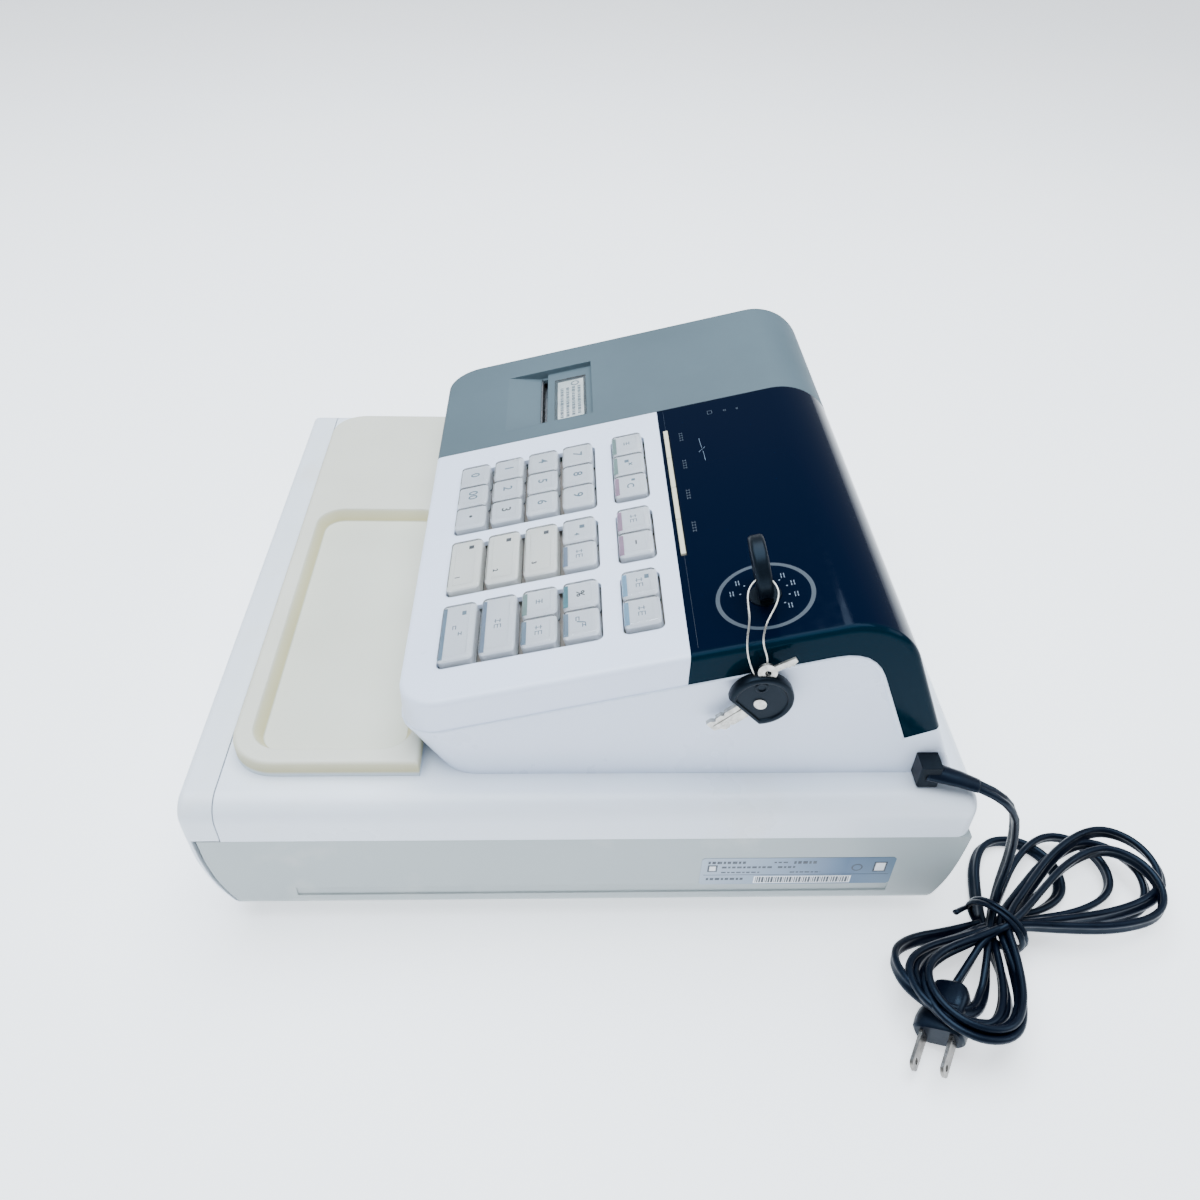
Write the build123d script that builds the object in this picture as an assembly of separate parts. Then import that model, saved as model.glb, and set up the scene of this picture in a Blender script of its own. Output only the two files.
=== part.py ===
# Compact electronic cash register with a small cash drawer.
# Millimetres.  +X is the operator's right, +Y the back, +Z up.
# Origin: table level, in the middle of the cabinet's footprint.
from build123d import *
import os
from math import atan, cos, degrees, hypot, radians, sin, sqrt, tan

os.makedirs("parts", exist_ok=True)

# ---------------------------------------------------------------- cabinet
case_width = 326.0
case_depth = 345.0
case_height = 81.2
seam_height = 59.0
foot_height = 8.0
foot_diameter = 22.0
case_wall = 2.5
case_top_radius = 10.0
case_bottom_radius = 8.0
front_cap_depth = 15.2
front_panel_wall = 2.8
front_gap_top = 2.6
front_gap_bottom = 1.2
seam_gap = 0.5
cable_hole_width = 40.0
cable_hole_depth = 24.0

# ---------------------------------------------------------------- drawer
drawer_back_gap = 47.0
drawer_side_gap = 8.0
drawer_floor_gap = 2.5
drawer_box_height = 49.0
drawer_wall = 2.0
drawer_travel = 210.0
rail_height = 4.0
rail_level = 30.0
runner_clearance = 0.4
insert_clearance = 1.0
insert_wall = 3.0
insert_height = 39.0
coin_row_length = 48.0
coin_rows = 2
coin_columns = 4
note_columns = 3
latch_pin_diameter = 4.0
latch_arm = 30.0

# ---------------------------------------------------------------- tray
tray_rim_height = 8.5
tray_floor = 2.2
tray_edge = 18.2
tray_rim = 8.0
tray_corner = 20.0
dish_corner = 14.0
dish_side_margin = 103.0

# ---------------------------------------------------------------- upper unit
hood_side_ledge = 18.6
hood_length = 241.4
hood_rear_setback = 10.0
hood_front_rise = 39.2
hood_slope = 14.37
hood_rear_lean = 23.3
hood_corner = 19.0
hood_rear_radius = 29.0
hood_edge_radius = 2.6
hood_wall = 2.5
hood_skirt_front = 17.6
hood_skirt_rear = 15.0
hood_rear_band = 16.4
hood_rear_band_end = 25.0
base_front_setback = 13.0
cover_width = 98.2
cover_gap = 0.35
keyboard_length = 123.1

# ---------------------------------------------------------------- keys
key_pitch_x = 18.4
key_pitch_u = 18.3
key_gap_x = 0.9
key_gap_u = 2.2
key_rise = 4.0
key_sunk = 3.0
key_travel = 2.3
key_wall = 1.4
key_edge = 1.3
key_post = 5.0
keys_from_cover = 22.0
keys_from_front = 16.7
key_block_gap = 9.9
function_row_gap = 7.8
key_hole_margin = 0.8
sheet_wall = 1.6
sheet_gap = 0.5
board_wall = 1.6

# ---------------------------------------------------------------- display side
slim_button_length = 25.6
slim_button_width = 2.3
slim_button_rise = 1.0
slim_button_travel = 0.7
slim_button_gap = 0.35
slim_buttons_from_edge = 2.0
dial_from_side = 28.5
dial_from_edge = 33.7
plug_diameter = 13.2
plug_clearance = 0.08
collar_wall = 3.0
lock_plug_length = 14.0
bow_diameter = 26.6
bow_thickness = 6.4
bow_top = 28.5
ring_hole_diameter = 5.2
wire_diameter = 1.0

# ---------------------------------------------------------------- printer
paper_width = 58.0
paper_diameter = 50.0
paper_core = 18.0
platen_diameter = 12.0
platen_shaft = 5.0
shaft_clearance = 0.1
frame_wall = 2.0
paper_side_gap = 1.2
pocket_from_side = 24.0
pocket_from_front = 38.3
pocket_length = 50.0
slot_from_pocket = 18.8
slot_width = 4.4
pocket_depth = 3.0
ramp_depth = 5.0
pocket_wall = 2.4
journal_width = 46.0
journal_length = 18.5
journal_thickness = 1.5

# ---------------------------------------------------------------- mains lead
cord_diameter = 6.4
cord_route = [
    (150.6, 152.0, 88.2),
    (160.0, 183.0, 86.5),
    (158.0, 196.0, 50.0),
    (166.0, 193.0, 12.0),
    (198.0, 180.0, 12.0),
]
hank_height = 21.0
hank_crown = 5.0
hank_tie = (178, 191, 13)
hank_low_lobe = [(204, 168, 22), (219, 156, 21)]
hank_high_lobe = [(158, 232, 22), (140, 268, 20)]
gland_reach = 9.4
plug_length = 26.0
plug_width = 22.0
plug_height = 13.0
plug_place = (218.9, 155.7, 11.4)
plug_turn = -30.7
plug_roll = 28.0
prong_length = 17.0
prong_width = 6.3
prong_wall = 1.5
prong_pitch = 12.7

# ---------------------------------------------------------------- derived places
front_y = -case_depth / 2
rear_y = case_depth / 2
side_x = case_width / 2
seam_y = front_y + front_cap_depth
inner_x = side_x - case_wall
hood_x = side_x - hood_side_ledge
hood_rear = rear_y - hood_rear_setback
hood_front = hood_rear - hood_length
hood_front_top = case_height + hood_front_rise
skirt_front_z = hood_front_top - hood_skirt_front
rise = tan(radians(hood_slope))
lean = tan(radians(hood_rear_lean))
base_front = hood_front + base_front_setback
cover_x = -hood_x + cover_width
window_u = keyboard_length
key_x0 = cover_x + keys_from_cover
sheet_top = -(key_sunk + key_travel + sheet_gap)
board_top = sheet_top - sheet_wall - 0.2
panel = Plane(
    origin=(0, hood_front, hood_front_top),
    x_dir=(1, 0, 0),
    z_dir=(0, -sin(radians(hood_slope)), cos(radians(hood_slope))),
)


def slab(x0, x1, y0, y1, z0, z1):
    """Box between two opposite corners."""
    return Pos((x0 + x1) / 2, (y0 + y1) / 2, (z0 + z1) / 2) * Box(x1 - x0, y1 - y0, z1 - z0)


def along_x(outline, x0, x1):
    """Profile of (y, z) points, extruded from x0 to x1."""
    face = make_face(Polyline(*outline, close=True))
    return extrude(Plane.YZ.offset(x0) * face, amount=x1 - x0)


def edges_at(part, axis, **limits):
    """Straight edges along one axis whose middle lies near the given x, y or z."""
    found = []
    for edge in part.edges().filter_by(axis):
        middle = edge.center()
        near = [abs(getattr(middle, name.upper()) - value) < 0.05 for name, value in limits.items()]
        if all(near):
            found.append(edge)
    return found


def panel_point(x, u, n):
    """Point on the sloped top: u runs up the slope, n stands out of it."""
    return panel.from_local_coords((x, u, n))


# ---------------------------------------------------------------- cabinet pieces
def front_line(inset_bottom, inset_top, bottom, top, steps=8):
    """Curved front of the cabinet as (y, z) points, set back by an inset that can grow upwards."""
    bulge = [(0.0, 15.2), (0.09, 10.4), (0.205, 6.4), (0.314, 3.6), (0.504, 1.1), (0.71, 0.2), (0.86, 0.0), (1.0, 0.3)]
    points = []
    for step in range(steps + 1):
        z = bottom + (top - bottom) * step / steps
        share = (z - foot_height) / (case_height - foot_height)
        for (low, a), (high, b) in zip(bulge, bulge[1:]):
            if low <= share <= high + 1e-9:
                setback = a + (b - a) * (share - low) / (high - low)
                break
        inset = inset_bottom + (inset_top - inset_bottom) * share
        points.append((front_y + setback + inset, z))
    return points


def rear_line(inset):
    """Curved rear of the lower case, from its bottom up to the seam."""
    bulge = [(0.0, 12.5), (0.09, 9.6), (0.2, 7.0), (0.5, 2.9), (0.8, 1.2), (1.0, 0.6)]
    span = seam_height - foot_height
    return [(rear_y - setback - inset, foot_height + span * share) for share, setback in bulge]


def case_section(inset):
    """Rounded section of the cabinet seen from the front, run along its depth."""
    width = case_width - 2 * inset
    height = case_height - foot_height - 2 * inset
    middle = (case_height + foot_height) / 2
    outline = Rectangle(width, height)
    outline = fillet(outline.vertices().group_by(Axis.Y)[-1], case_top_radius - inset)
    outline = fillet(outline.vertices().group_by(Axis.Y)[0], case_bottom_radius - inset)
    run = Plane((0, rear_y + 50, middle), x_dir=(1, 0, 0), z_dir=(0, -1, 0))
    return extrude(run * outline, amount=case_depth + 100)


def case_block(front_shift, inset):
    """Lower case volume between its curved front edge and its curved rear."""
    gap_bottom = front_panel_wall + front_gap_bottom - front_shift
    gap_top = front_panel_wall + front_gap_top - front_shift
    front = front_line(gap_bottom, gap_top, foot_height, seam_height)
    rear = rear_line(inset)
    lines = [Spline(*front), Line(front[-1], rear[-1]), Spline(*rear), Line(rear[0], front[0])]
    face = make_face(lines)
    return extrude(Plane.YZ.offset(-side_x) * face, amount=case_width) & case_section(inset)


def lower_case():
    """Open tub with drawer rails inside, a rib low on each side and sockets for the feet."""
    tub = case_block(0, 0) - case_block(40, case_wall)
    for side in (-1, 1):
        rail = slab(inner_x - drawer_side_gap + 2, inner_x + 1, seam_y + 12, rear_y - 30, rail_level, rail_level + rail_height)
        tub += rail if side > 0 else mirror(rail, Plane.YZ)
        groove = slab(side_x - 0.7, side_x + 1, -case_depth / 2 + 42, case_depth / 2 - 31, 18.5, 24.5)
        tub -= groove if side > 0 else mirror(groove, Plane.YZ)
    return tub


def cabinet_top():
    """Top cover: a plate with skirts that stand on the lower case, and two lugs for the latch pin."""
    front = seam_y + seam_gap
    outer = slab(-side_x, side_x, front, rear_y, seam_height, case_height) & case_section(0)
    outer = fillet(edges_at(outer, Axis.X, y=rear_y, z=case_height), case_top_radius - 2)
    inner = slab(-side_x, side_x, front - 9, rear_y - case_wall, seam_height - 9, case_height - case_wall)
    lid = outer - (inner & case_section(case_wall))
    hole_y = rear_y - 120
    lid -= slab(-cable_hole_width / 2, cable_hole_width / 2, hole_y, hole_y + cable_hole_depth, seam_height, case_height + 1)
    lug = slab(-3, 3, latch_y - 5, latch_y + 5, latch_z - 5, case_height - case_wall + 0.5)
    for x in (-10, 10):
        lid += Pos(x, 0, 0) * lug
    bore = Pos(0, latch_y, latch_z) * Rot(0, 90, 0) * Cylinder(latch_pin_diameter / 2 + shaft_clearance, 40)
    return lid - bore


def rubber_feet():
    """Four round pads under the corners."""
    pads = []
    for x in (-side_x + 34, side_x - 34):
        for y in (front_y + 42, rear_y - 42):
            pad = Pos(x, y, foot_height / 2) * Cylinder(foot_diameter / 2, foot_height)
            pad = chamfer(pad.edges().group_by(Axis.Z)[0], 1.0)
            pads.append(pad)
    return Compound(children=pads)


# ---------------------------------------------------------------- drawer pieces
drawer_x = inner_x - drawer_side_gap
drawer_front_y = seam_y + 0.8
drawer_back_y = rear_y - drawer_back_gap
drawer_z = foot_height + case_wall + drawer_floor_gap
drawer_top = drawer_z + drawer_box_height
latch_y = drawer_back_y + 22.0
latch_z = drawer_top + 8.5


def drawer_front():
    """Moulded front: a curved panel, a strip along the top and a return at each side."""
    low = foot_height + 1.5
    outer = front_line(0, 0, low, case_height)
    inner = front_line(front_panel_wall, front_panel_wall, low - 0.5, case_height - case_wall, 9)
    solid_face = make_face([Spline(*outer), Line(outer[-1], (seam_y, case_height)), Line((seam_y, case_height), (seam_y, low)), Line((seam_y, low), outer[0])])
    back = seam_y + 9
    top = inner[-1][1]
    low_in = inner[0][1]
    void_face = make_face([Spline(*inner), Line(inner[-1], (back, top)), Line((back, top), (back, low_in)), Line((back, low_in), inner[0])])
    shell = extrude(Plane.YZ.offset(-side_x) * solid_face, amount=case_width) & case_section(0)
    shell = fillet(edges_at(shell, Axis.X, y=outer[-1][0], z=case_height), 3.0)
    void = extrude(Plane.YZ.offset(-side_x - 1) * void_face, amount=case_width + 2)
    shell -= void & case_section(case_wall)
    shell -= void & slab(-side_x - 2, side_x + 2, front_y - 9, back + 1, 0, seam_height + seam_gap)
    for x in (-side_x * 0.6, 0, side_x * 0.6):
        boss = slab(x - 12, x + 12, front_y + 3.0, drawer_front_y, rail_level, rail_level + 16)
        shell += boss
    return shell


def drawer_box():
    """Open drawer with a runner along each side that rides above the case's rail."""
    box = slab(-drawer_x, drawer_x, drawer_front_y, drawer_back_y, drawer_z, drawer_top)
    box -= slab(-drawer_x + drawer_wall, drawer_x - drawer_wall, drawer_front_y + drawer_wall, drawer_back_y - drawer_wall, drawer_z + drawer_wall, drawer_top + 1)
    low = rail_level + rail_height + runner_clearance
    runner = slab(drawer_x - 0.5, inner_x - 0.7, drawer_front_y + 25, drawer_back_y, low, low + 3)
    return box + runner + mirror(runner, Plane.YZ)


def coin_insert():
    """Lift-out moulding with two rows of coin cups in front of three note bays."""
    half = drawer_x - drawer_wall - insert_clearance
    y0 = drawer_front_y + drawer_wall + insert_clearance
    y1 = drawer_back_y - drawer_wall - insert_clearance
    z0 = drawer_z + drawer_wall
    z1 = z0 + insert_height
    block = slab(-half, half, y0, y1, z0, z1)
    cup_width = (2 * half - insert_wall * (coin_columns + 1)) / coin_columns
    for row in range(coin_rows):
        y = y0 + insert_wall + row * (coin_row_length + insert_wall)
        for column in range(coin_columns):
            x = -half + insert_wall + column * (cup_width + insert_wall)
            cup = slab(x, x + cup_width, y, y + coin_row_length, z0 + insert_wall, z1 + 30)
            cup = fillet(cup.edges().filter_by(Axis.X).group_by(Axis.Z)[0], 14)
            block -= cup
    note_y = y0 + insert_wall + coin_rows * (coin_row_length + insert_wall)
    note_width = (2 * half - insert_wall * (note_columns + 1)) / note_columns
    for column in range(note_columns):
        x = -half + insert_wall + column * (note_width + insert_wall)
        block -= slab(x, x + note_width, note_y, y1 - insert_wall, z0 + insert_wall, z1 + 1)
    return block


def release_latch():
    """Lever on a pin under the cabinet top whose hook drops in front of the drawer's back wall."""
    pin = Pos(0, latch_y, latch_z) * Rot(0, 90, 0) * Cylinder(latch_pin_diameter / 2, 27)
    arm = slab(-6, 6, latch_y - latch_arm, latch_y + 4, latch_z - 2.5, latch_z + 2.5)
    hook = slab(-6, 6, latch_y - latch_arm - 3, latch_y - latch_arm + 1, drawer_top + 0.8, latch_z + 2.5)
    return arm + pin + hook


# ---------------------------------------------------------------- tray
def accessory_tray():
    """Shallow tray on the cabinet top with one rounded dish and a flat shelf at its left."""
    y0 = front_y + tray_edge
    y1 = base_front - 0.5 - tray_rim_height * base_front_setback / (skirt_front_z - case_height)
    x1 = hood_x + 1.0
    top = case_height + tray_rim_height
    plate = slab(-hood_x - 1.0, x1, y0, y1, case_height, top)
    plate = fillet(edges_at(plate, Axis.Z, y=y0), tray_corner)
    plate = fillet(plate.edges().group_by(Axis.Z)[-1], 2.0)
    floor = case_height + tray_floor
    dish_x0 = -hood_x + dish_side_margin
    size_x = x1 - tray_rim - dish_x0
    size_y = y1 - 4.0 - (y0 + tray_rim)
    mid_x = dish_x0 + size_x / 2
    mid_y = y0 + tray_rim + size_y / 2
    high_corner = min(dish_corner, size_y / 2 - 0.1)
    low_corner = min(dish_corner - 4, size_y / 2 - 4.1)
    low = Pos(mid_x, mid_y, floor) * RectangleRounded(size_x - 8, size_y - 8, low_corner)
    high = Pos(mid_x, mid_y, top + 0.01) * RectangleRounded(size_x, size_y, high_corner)
    return plate - loft([low.face(), high.face()])


# ---------------------------------------------------------------- upper unit
def top_z(y):
    """Height of the sloped top at a given y."""
    return hood_front_top + rise * (y - hood_front)


rear_top_z = (hood_front_top + rise * (hood_rear - hood_front + case_height * lean)) / (1 + rise * lean)
rear_top_y = hood_rear - (rear_top_z - case_height) * lean


def unit_outline(inset, drop):
    """Side view of the upper unit, pulled in by an inset and carried on below its base by a drop."""
    base_lean = base_front_setback / (skirt_front_z - case_height)
    low = case_height - drop
    points = [
        (base_front + drop * base_lean, low),
        (hood_front, skirt_front_z),
        (hood_front, hood_front_top),
        (rear_top_y, rear_top_z),
        (hood_rear + drop * lean, low),
    ]
    face = make_face(Polyline(*points, close=True))
    if inset > 0:
        face = offset(face, amount=-inset, kind=Kind.INTERSECTION)
    corner = face.vertices().sort_by(Axis.Y)[-1]
    return fillet(corner, hood_rear_radius - inset)


def plan_columns(inset, drop):
    """Footprint columns of the upper unit: upright above the skirt, leaning below it, front corners round."""
    width = 2 * (hood_x - inset)
    length = hood_rear - hood_front + 40
    outline = Pos(0, length / 2) * Rectangle(width, length)
    outline = fillet(outline.vertices().group_by(Axis.Y)[0], hood_corner - inset)
    start = Pos(0, hood_front + inset, skirt_front_z) * outline
    reach = skirt_front_z - case_height + drop
    shift = base_front_setback * reach / (skirt_front_z - case_height)
    upright = extrude(start, amount=rear_top_z)
    leaning = extrude(start, amount=hypot(shift, reach), dir=(0, shift, -reach))
    return upright, leaning


def unit_body(inset, drop=0.0):
    """Whole upper unit as one volume."""
    body = extrude(Plane.YZ.offset(-hood_x + inset) * unit_outline(inset, drop), amount=2 * (hood_x - inset))
    upright, leaning = plan_columns(inset, drop)
    return (body & upright) + (body & leaning)


def skirt_zone(lift=0.0):
    """Everything above the line where the hood pieces meet the lower housing."""
    reference_y = hood_rear - 60
    slope = (top_z(reference_y) - hood_skirt_rear - skirt_front_z) / (reference_y - hood_front)
    band = hood_rear_band * hypot(1, lean)
    corner_z = (skirt_front_z + slope * (hood_rear - band + case_height * lean - hood_front)) / (1 + slope * lean)
    corner_y = hood_rear - band - (corner_z - case_height) * lean
    end_z = case_height + hood_rear_band_end - 3
    end_y = hood_rear - band - (end_z - case_height) * lean
    reach = hood_rear_band + 12
    points = [
        (hood_front - 9, skirt_front_z - 9 * slope),
        (corner_y, corner_z),
        (end_y, end_z),
        (end_y + reach / hypot(1, lean), end_z + reach * lean / hypot(1, lean)),
        (hood_rear + 30, rear_top_z + 60),
        (hood_front - 9, rear_top_z + 60),
    ]
    face = make_face(Polyline(*points, close=True))
    corner = face.vertices().sort_by_distance((corner_y, corner_z))[0]
    face = fillet(corner, 15)
    return Pos(0, 0, lift) * extrude(Plane.YZ.offset(-hood_x - 9) * face, amount=2 * hood_x + 18)


def rounded_unit():
    """Upper unit with its upper rim rounded all the way round."""
    whole = unit_body(0)
    rim = []
    for edge in whole.edges():
        middle = edge.center()
        outer = abs(middle.X) > hood_x - hood_corner or abs(middle.Y - hood_front) < 0.1
        on_top = abs(middle.Z - top_z(middle.Y)) < 0.4
        behind = middle.Y > rear_top_y - 40 and middle.Z > case_height + 5
        if outer and (on_top or behind):
            rim.append(edge)
    return fillet(rim, hood_edge_radius)


unit_shell = rounded_unit() - unit_body(hood_wall, 20.0)
gland_y = hood_rear - 12.5
edge_y = panel_point(0, window_u, 0).Y


def gland_block(gap):
    """Block of the strain relief, also used to cut its seat in the side wall."""
    y0 = gland_y - 6.2 - gap
    y1 = gland_y + 3.0 + gap
    return slab(hood_x - 6, hood_x + gland_reach, y0, y1, case_height + 1.2, case_height + 13.2 + gap)


def lower_housing():
    """White base of the upper unit: leaning front wall, sides, back and a foot flange inside."""
    shell = unit_shell - skirt_zone()
    foot = unit_body(0) & slab(-side_x, side_x, front_y, rear_y, case_height, case_height + 2)
    inner = unit_body(hood_wall + 7, 20.0)
    return shell + (foot - inner) - gland_block(0.0)


def block_corner(column, upper):
    """Front left corner of a key block, in panel coordinates."""
    before = [0, 3, 5][column]
    x = key_x0 + before * key_pitch_x + column * key_block_gap
    u = keys_from_front + (4 * key_pitch_u + function_row_gap if upper else 0)
    return x, u


def keyboard_housing():
    """White top shell with one rounded opening for each block of keys."""
    front_half = slab(cover_x, side_x, front_y, edge_y, 0, 400)
    shell = (unit_shell & skirt_zone()) & front_half
    lip = slab(cover_x, cover_x + 2, 12, window_u - 8, -7, -hood_wall + 0.5)
    shell += panel * lip
    for column, count in enumerate((3, 2, 2)):
        for upper in (False, True):
            x, u = block_corner(column, upper)
            rows = 1 if upper else 4
            width = count * key_pitch_x - key_gap_x + 2 * key_hole_margin
            length = rows * key_pitch_u - key_gap_u + 2 * key_hole_margin
            hole = RectangleRounded(width, length, 3.0)
            middle = Pos(x + width / 2 - key_hole_margin, u + length / 2 - key_hole_margin, -30)
            shell -= panel * (middle * extrude(hole, amount=60))
    return shell


slim_x0 = key_x0 + 0.4
slim_u0 = window_u + slim_buttons_from_edge
slim_u1 = slim_u0 + slim_button_width
dial_x = hood_x - dial_from_side
dial_u = window_u + dial_from_edge


def display_window():
    """Dark rear shell over the display, with a slot for the slim buttons and the lock's bore."""
    rear_half = slab(cover_x, side_x, edge_y, rear_y, 0, 400)
    shell = (unit_shell & skirt_zone()) & rear_half
    shell += panel * slab(cover_x, cover_x + 2, window_u + 1, window_u + 60, -7, -hood_wall + 0.5)
    length = 4 * slim_button_length + 5 * slim_button_gap
    slot = slab(slim_x0 - slim_button_gap, slim_x0 - slim_button_gap + length, slim_u0 - slim_button_gap, slim_u1 + slim_button_gap, -9, 9)
    collar = Pos(dial_x, dial_u, -5) * Cylinder(plug_diameter / 2 + collar_wall, 8)
    bore = Pos(dial_x, dial_u, 0) * Cylinder(plug_diameter / 2 + plug_clearance, 40)
    return shell - panel * slot + panel * collar - panel * bore


pocket_x0 = -hood_x + pocket_from_side
pocket_x1 = cover_x - 13.8
pocket_u1 = pocket_from_front + pocket_length
slot_u0 = pocket_from_front + slot_from_pocket
slot_u1 = slot_u0 + slot_width
journal_x0 = (pocket_x0 + pocket_x1) / 2 - journal_width / 2 + 2
journal_u0 = slot_u1 + 4.3


def printer_cover():
    """Lift-off cover over the paper: recessed outlet with a ramp, a slot and a window seat."""
    shell = unit_shell & skirt_zone(cover_gap)
    shell &= slab(-side_x, cover_x - cover_gap, front_y, rear_y, 0, 400)
    wall = pocket_wall
    well = slab(pocket_x0 - wall, pocket_x1 + wall, pocket_from_front - wall, pocket_u1 + wall, -ramp_depth - wall, -1)
    shell += panel * well
    ramp = along_x([(pocket_from_front, 0), (slot_u0, -ramp_depth), (slot_u1, -ramp_depth), (slot_u1, 9), (pocket_from_front, 9)], pocket_x0, pocket_x1)
    shell -= panel * ramp
    shell -= panel * slab(pocket_x0, pocket_x1, slot_u1 - 0.1, pocket_u1, -pocket_depth, 9)
    shell -= panel * slab(pocket_x0 + 2, pocket_x1 - 1, slot_u0, slot_u1, -40, 0)
    x1 = journal_x0 + journal_width
    u1 = journal_u0 + journal_length
    shell -= panel * slab(journal_x0, x1, journal_u0, u1, -pocket_depth - journal_thickness, 0)
    shell -= panel * slab(journal_x0 + 1.5, x1 - 1.5, journal_u0 + 1.5, u1 - 1.5, -40, 0)
    return shell


def journal_window():
    """Clear pane seated in the cover's rebate behind the paper slot."""
    x1 = journal_x0 + journal_width
    return panel * slab(journal_x0, x1, journal_u0, journal_u0 + journal_length, -pocket_depth - journal_thickness, -pocket_depth)


# ---------------------------------------------------------------- keys
def key_cap(x, u, columns):
    """Hollow cap with a rounded top edge and a post under its middle."""
    width = columns * key_pitch_x - key_gap_x
    length = key_pitch_u - key_gap_u
    tall = key_rise + key_sunk
    cap = Pos(0, 0, -key_sunk) * extrude(RectangleRounded(width, length, 2.2), amount=tall)
    cap = fillet(cap.edges().group_by(Axis.Z)[-1], key_edge)
    inner = RectangleRounded(width - 2 * key_wall, length - 2 * key_wall, 1.0)
    cap -= Pos(0, 0, -key_sunk) * extrude(inner, amount=tall - 1.6)
    cap += Pos(0, 0, -key_sunk) * extrude(Circle(key_post / 2), amount=tall - 1)
    return panel * (Pos(x + width / 2, u + length / 2, 0) * cap)


number_rows = [["0", "00", "dot"], ["1", "2", "3"], ["4", "5", "6"], ["7", "8", "9"]]
department_rows = [["dept_1"], ["dept_2"], ["dept_3"], ["dept_4", "shift"]]
finish_rows = [["cash"], ["subtotal"], ["credit", "voucher"], ["percent", "no_sale"]]
upper_rows = [["receipt", "multiply", "clear"], ["correct", "minus"], ["cash_in", "cash_out"]]


def all_keys():
    """Every key with its name, laid out block by block."""
    keys = {}
    for column, rows in enumerate((number_rows, department_rows, finish_rows)):
        count = (3, 2, 2)[column]
        x, u = block_corner(column, False)
        for row, names in enumerate(rows):
            span = count // len(names)
            for place, name in enumerate(names):
                keys["key_" + name] = key_cap(x + place * span * key_pitch_x, u + row * key_pitch_u, span)
        x, u = block_corner(column, True)
        for place, name in enumerate(upper_rows[column]):
            keys["key_" + name] = key_cap(x + place * key_pitch_x, u, 1)
    return keys


def slim_button(place):
    """One of the four narrow push buttons in a line along the display."""
    x = slim_x0 + place * (slim_button_length + slim_button_gap)
    cap = slab(x, x + slim_button_length, slim_u0, slim_u1, -hood_wall - 0.5, slim_button_rise)
    cap = fillet(cap.edges().group_by(Axis.Z)[-1], 0.4)
    return panel * cap


def contact_sheet():
    """Rubber mat under all the keys."""
    x1 = block_corner(2, True)[0] + 2 * key_pitch_x + 2
    u1 = block_corner(0, True)[1] + key_pitch_u - key_gap_u
    return panel * slab(key_x0 - 2, x1, keys_from_front - 2, u1 + 1.5, sheet_top - sheet_wall, sheet_top)


def main_board():
    """Circuit board under the keys with the display tube and its driver block on it."""
    x0 = key_x0 - 6
    x1 = hood_x - 8
    low = board_top - board_wall
    rear_end = dial_u - plug_diameter / 2 - collar_wall - 0.1
    board = slab(x0, x1, 11, rear_end, low, board_top)
    tube = slab(key_x0 + 8, key_x0 + 96, window_u + 6, rear_end - 2, board_top - 0.2, -hood_wall - 1.0)
    block = slab(key_x0 + 20, key_x0 + 60, 40, 70, low - 9, low + 0.2)
    return panel * (board + tube + block)


def transformer():
    """Laminated core with a wound bobbin, standing on the cabinet top at the back."""
    y = hood_rear - 62
    z = case_height
    core = slab(70, 116, y, y + 24, z, z + 40)
    bobbin = slab(78, 108, y - 9, y + 33, z + 8, z + 32)
    feet = slab(62, 124, y + 4, y + 20, z, z + 1.5)
    return core + bobbin + feet


# ---------------------------------------------------------------- mode lock and its keys
bow_middle = bow_top - bow_diameter / 2
ring_x = dial_x + bow_diameter / 2 - 4.2
ring_n = bow_middle + 1.5


def mode_key():
    """Lock plug with the operator's key standing in it."""
    plug = Pos(dial_x, dial_u, 0.6 - lock_plug_length / 2) * Cylinder(plug_diameter / 2, lock_plug_length)
    disc = Pos(dial_x, dial_u, bow_middle) * Rot(90, 0, 0) * Cylinder(bow_diameter / 2, bow_thickness)
    disc = fillet(disc.edges().filter_by(GeomType.CIRCLE), 1.6)
    neck = slab(dial_x - 5.5, dial_x + 5.5, dial_u - bow_thickness / 2 + 0.4, dial_u + bow_thickness / 2 - 0.4, 0, bow_middle)
    hole = Pos(ring_x, dial_u, ring_n) * Rot(90, 0, 0) * Cylinder(ring_hole_diameter / 2, 30)
    return panel * (plug + disc + neck - hole)


hole_point = panel_point(ring_x, dial_u, ring_n)
hang_x = hood_x + 4.6
bow_point = (hang_x, hole_point.Y + 0.8, hole_point.Z - 42.5)


def ring_wire():
    """Loop of steel wire through the bow, down over the side, holding the two spare keys."""
    x, y, z = hole_point.X, hole_point.Y, hole_point.Z
    route = [
        (hang_x + 0.2, y + 5.6, z - 27.5),
        (hang_x - 0.2, y + 2.0, z - 20.0),
        (hang_x - 1.2, y - 1.6, z - 14.5),
        (x + 19, y - 0.6, z - 6.3),
        (x + 12, y + 4.6, z - 1.2),
        (x + 6, y + 6.4, z + 0.1),
        (x, y, z + 0.5),
        (x + 6, y - 6.6, z + 0.1),
        (x + 16, y - 7.0, z - 6.0),
        (hang_x - 1.0, y - 7.6, z - 17.0),
        (hang_x, y - 3.2, z - 29.5),
        (hang_x, y + 1.5, z - 32.5),
        (hang_x + 0.2, y + 4.2, z - 29.2),
    ]
    path = Spline(*route)
    section = Plane(origin=path @ 0, z_dir=path % 0) * Circle(wire_diameter / 2)
    return sweep(section, path=path)


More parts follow.
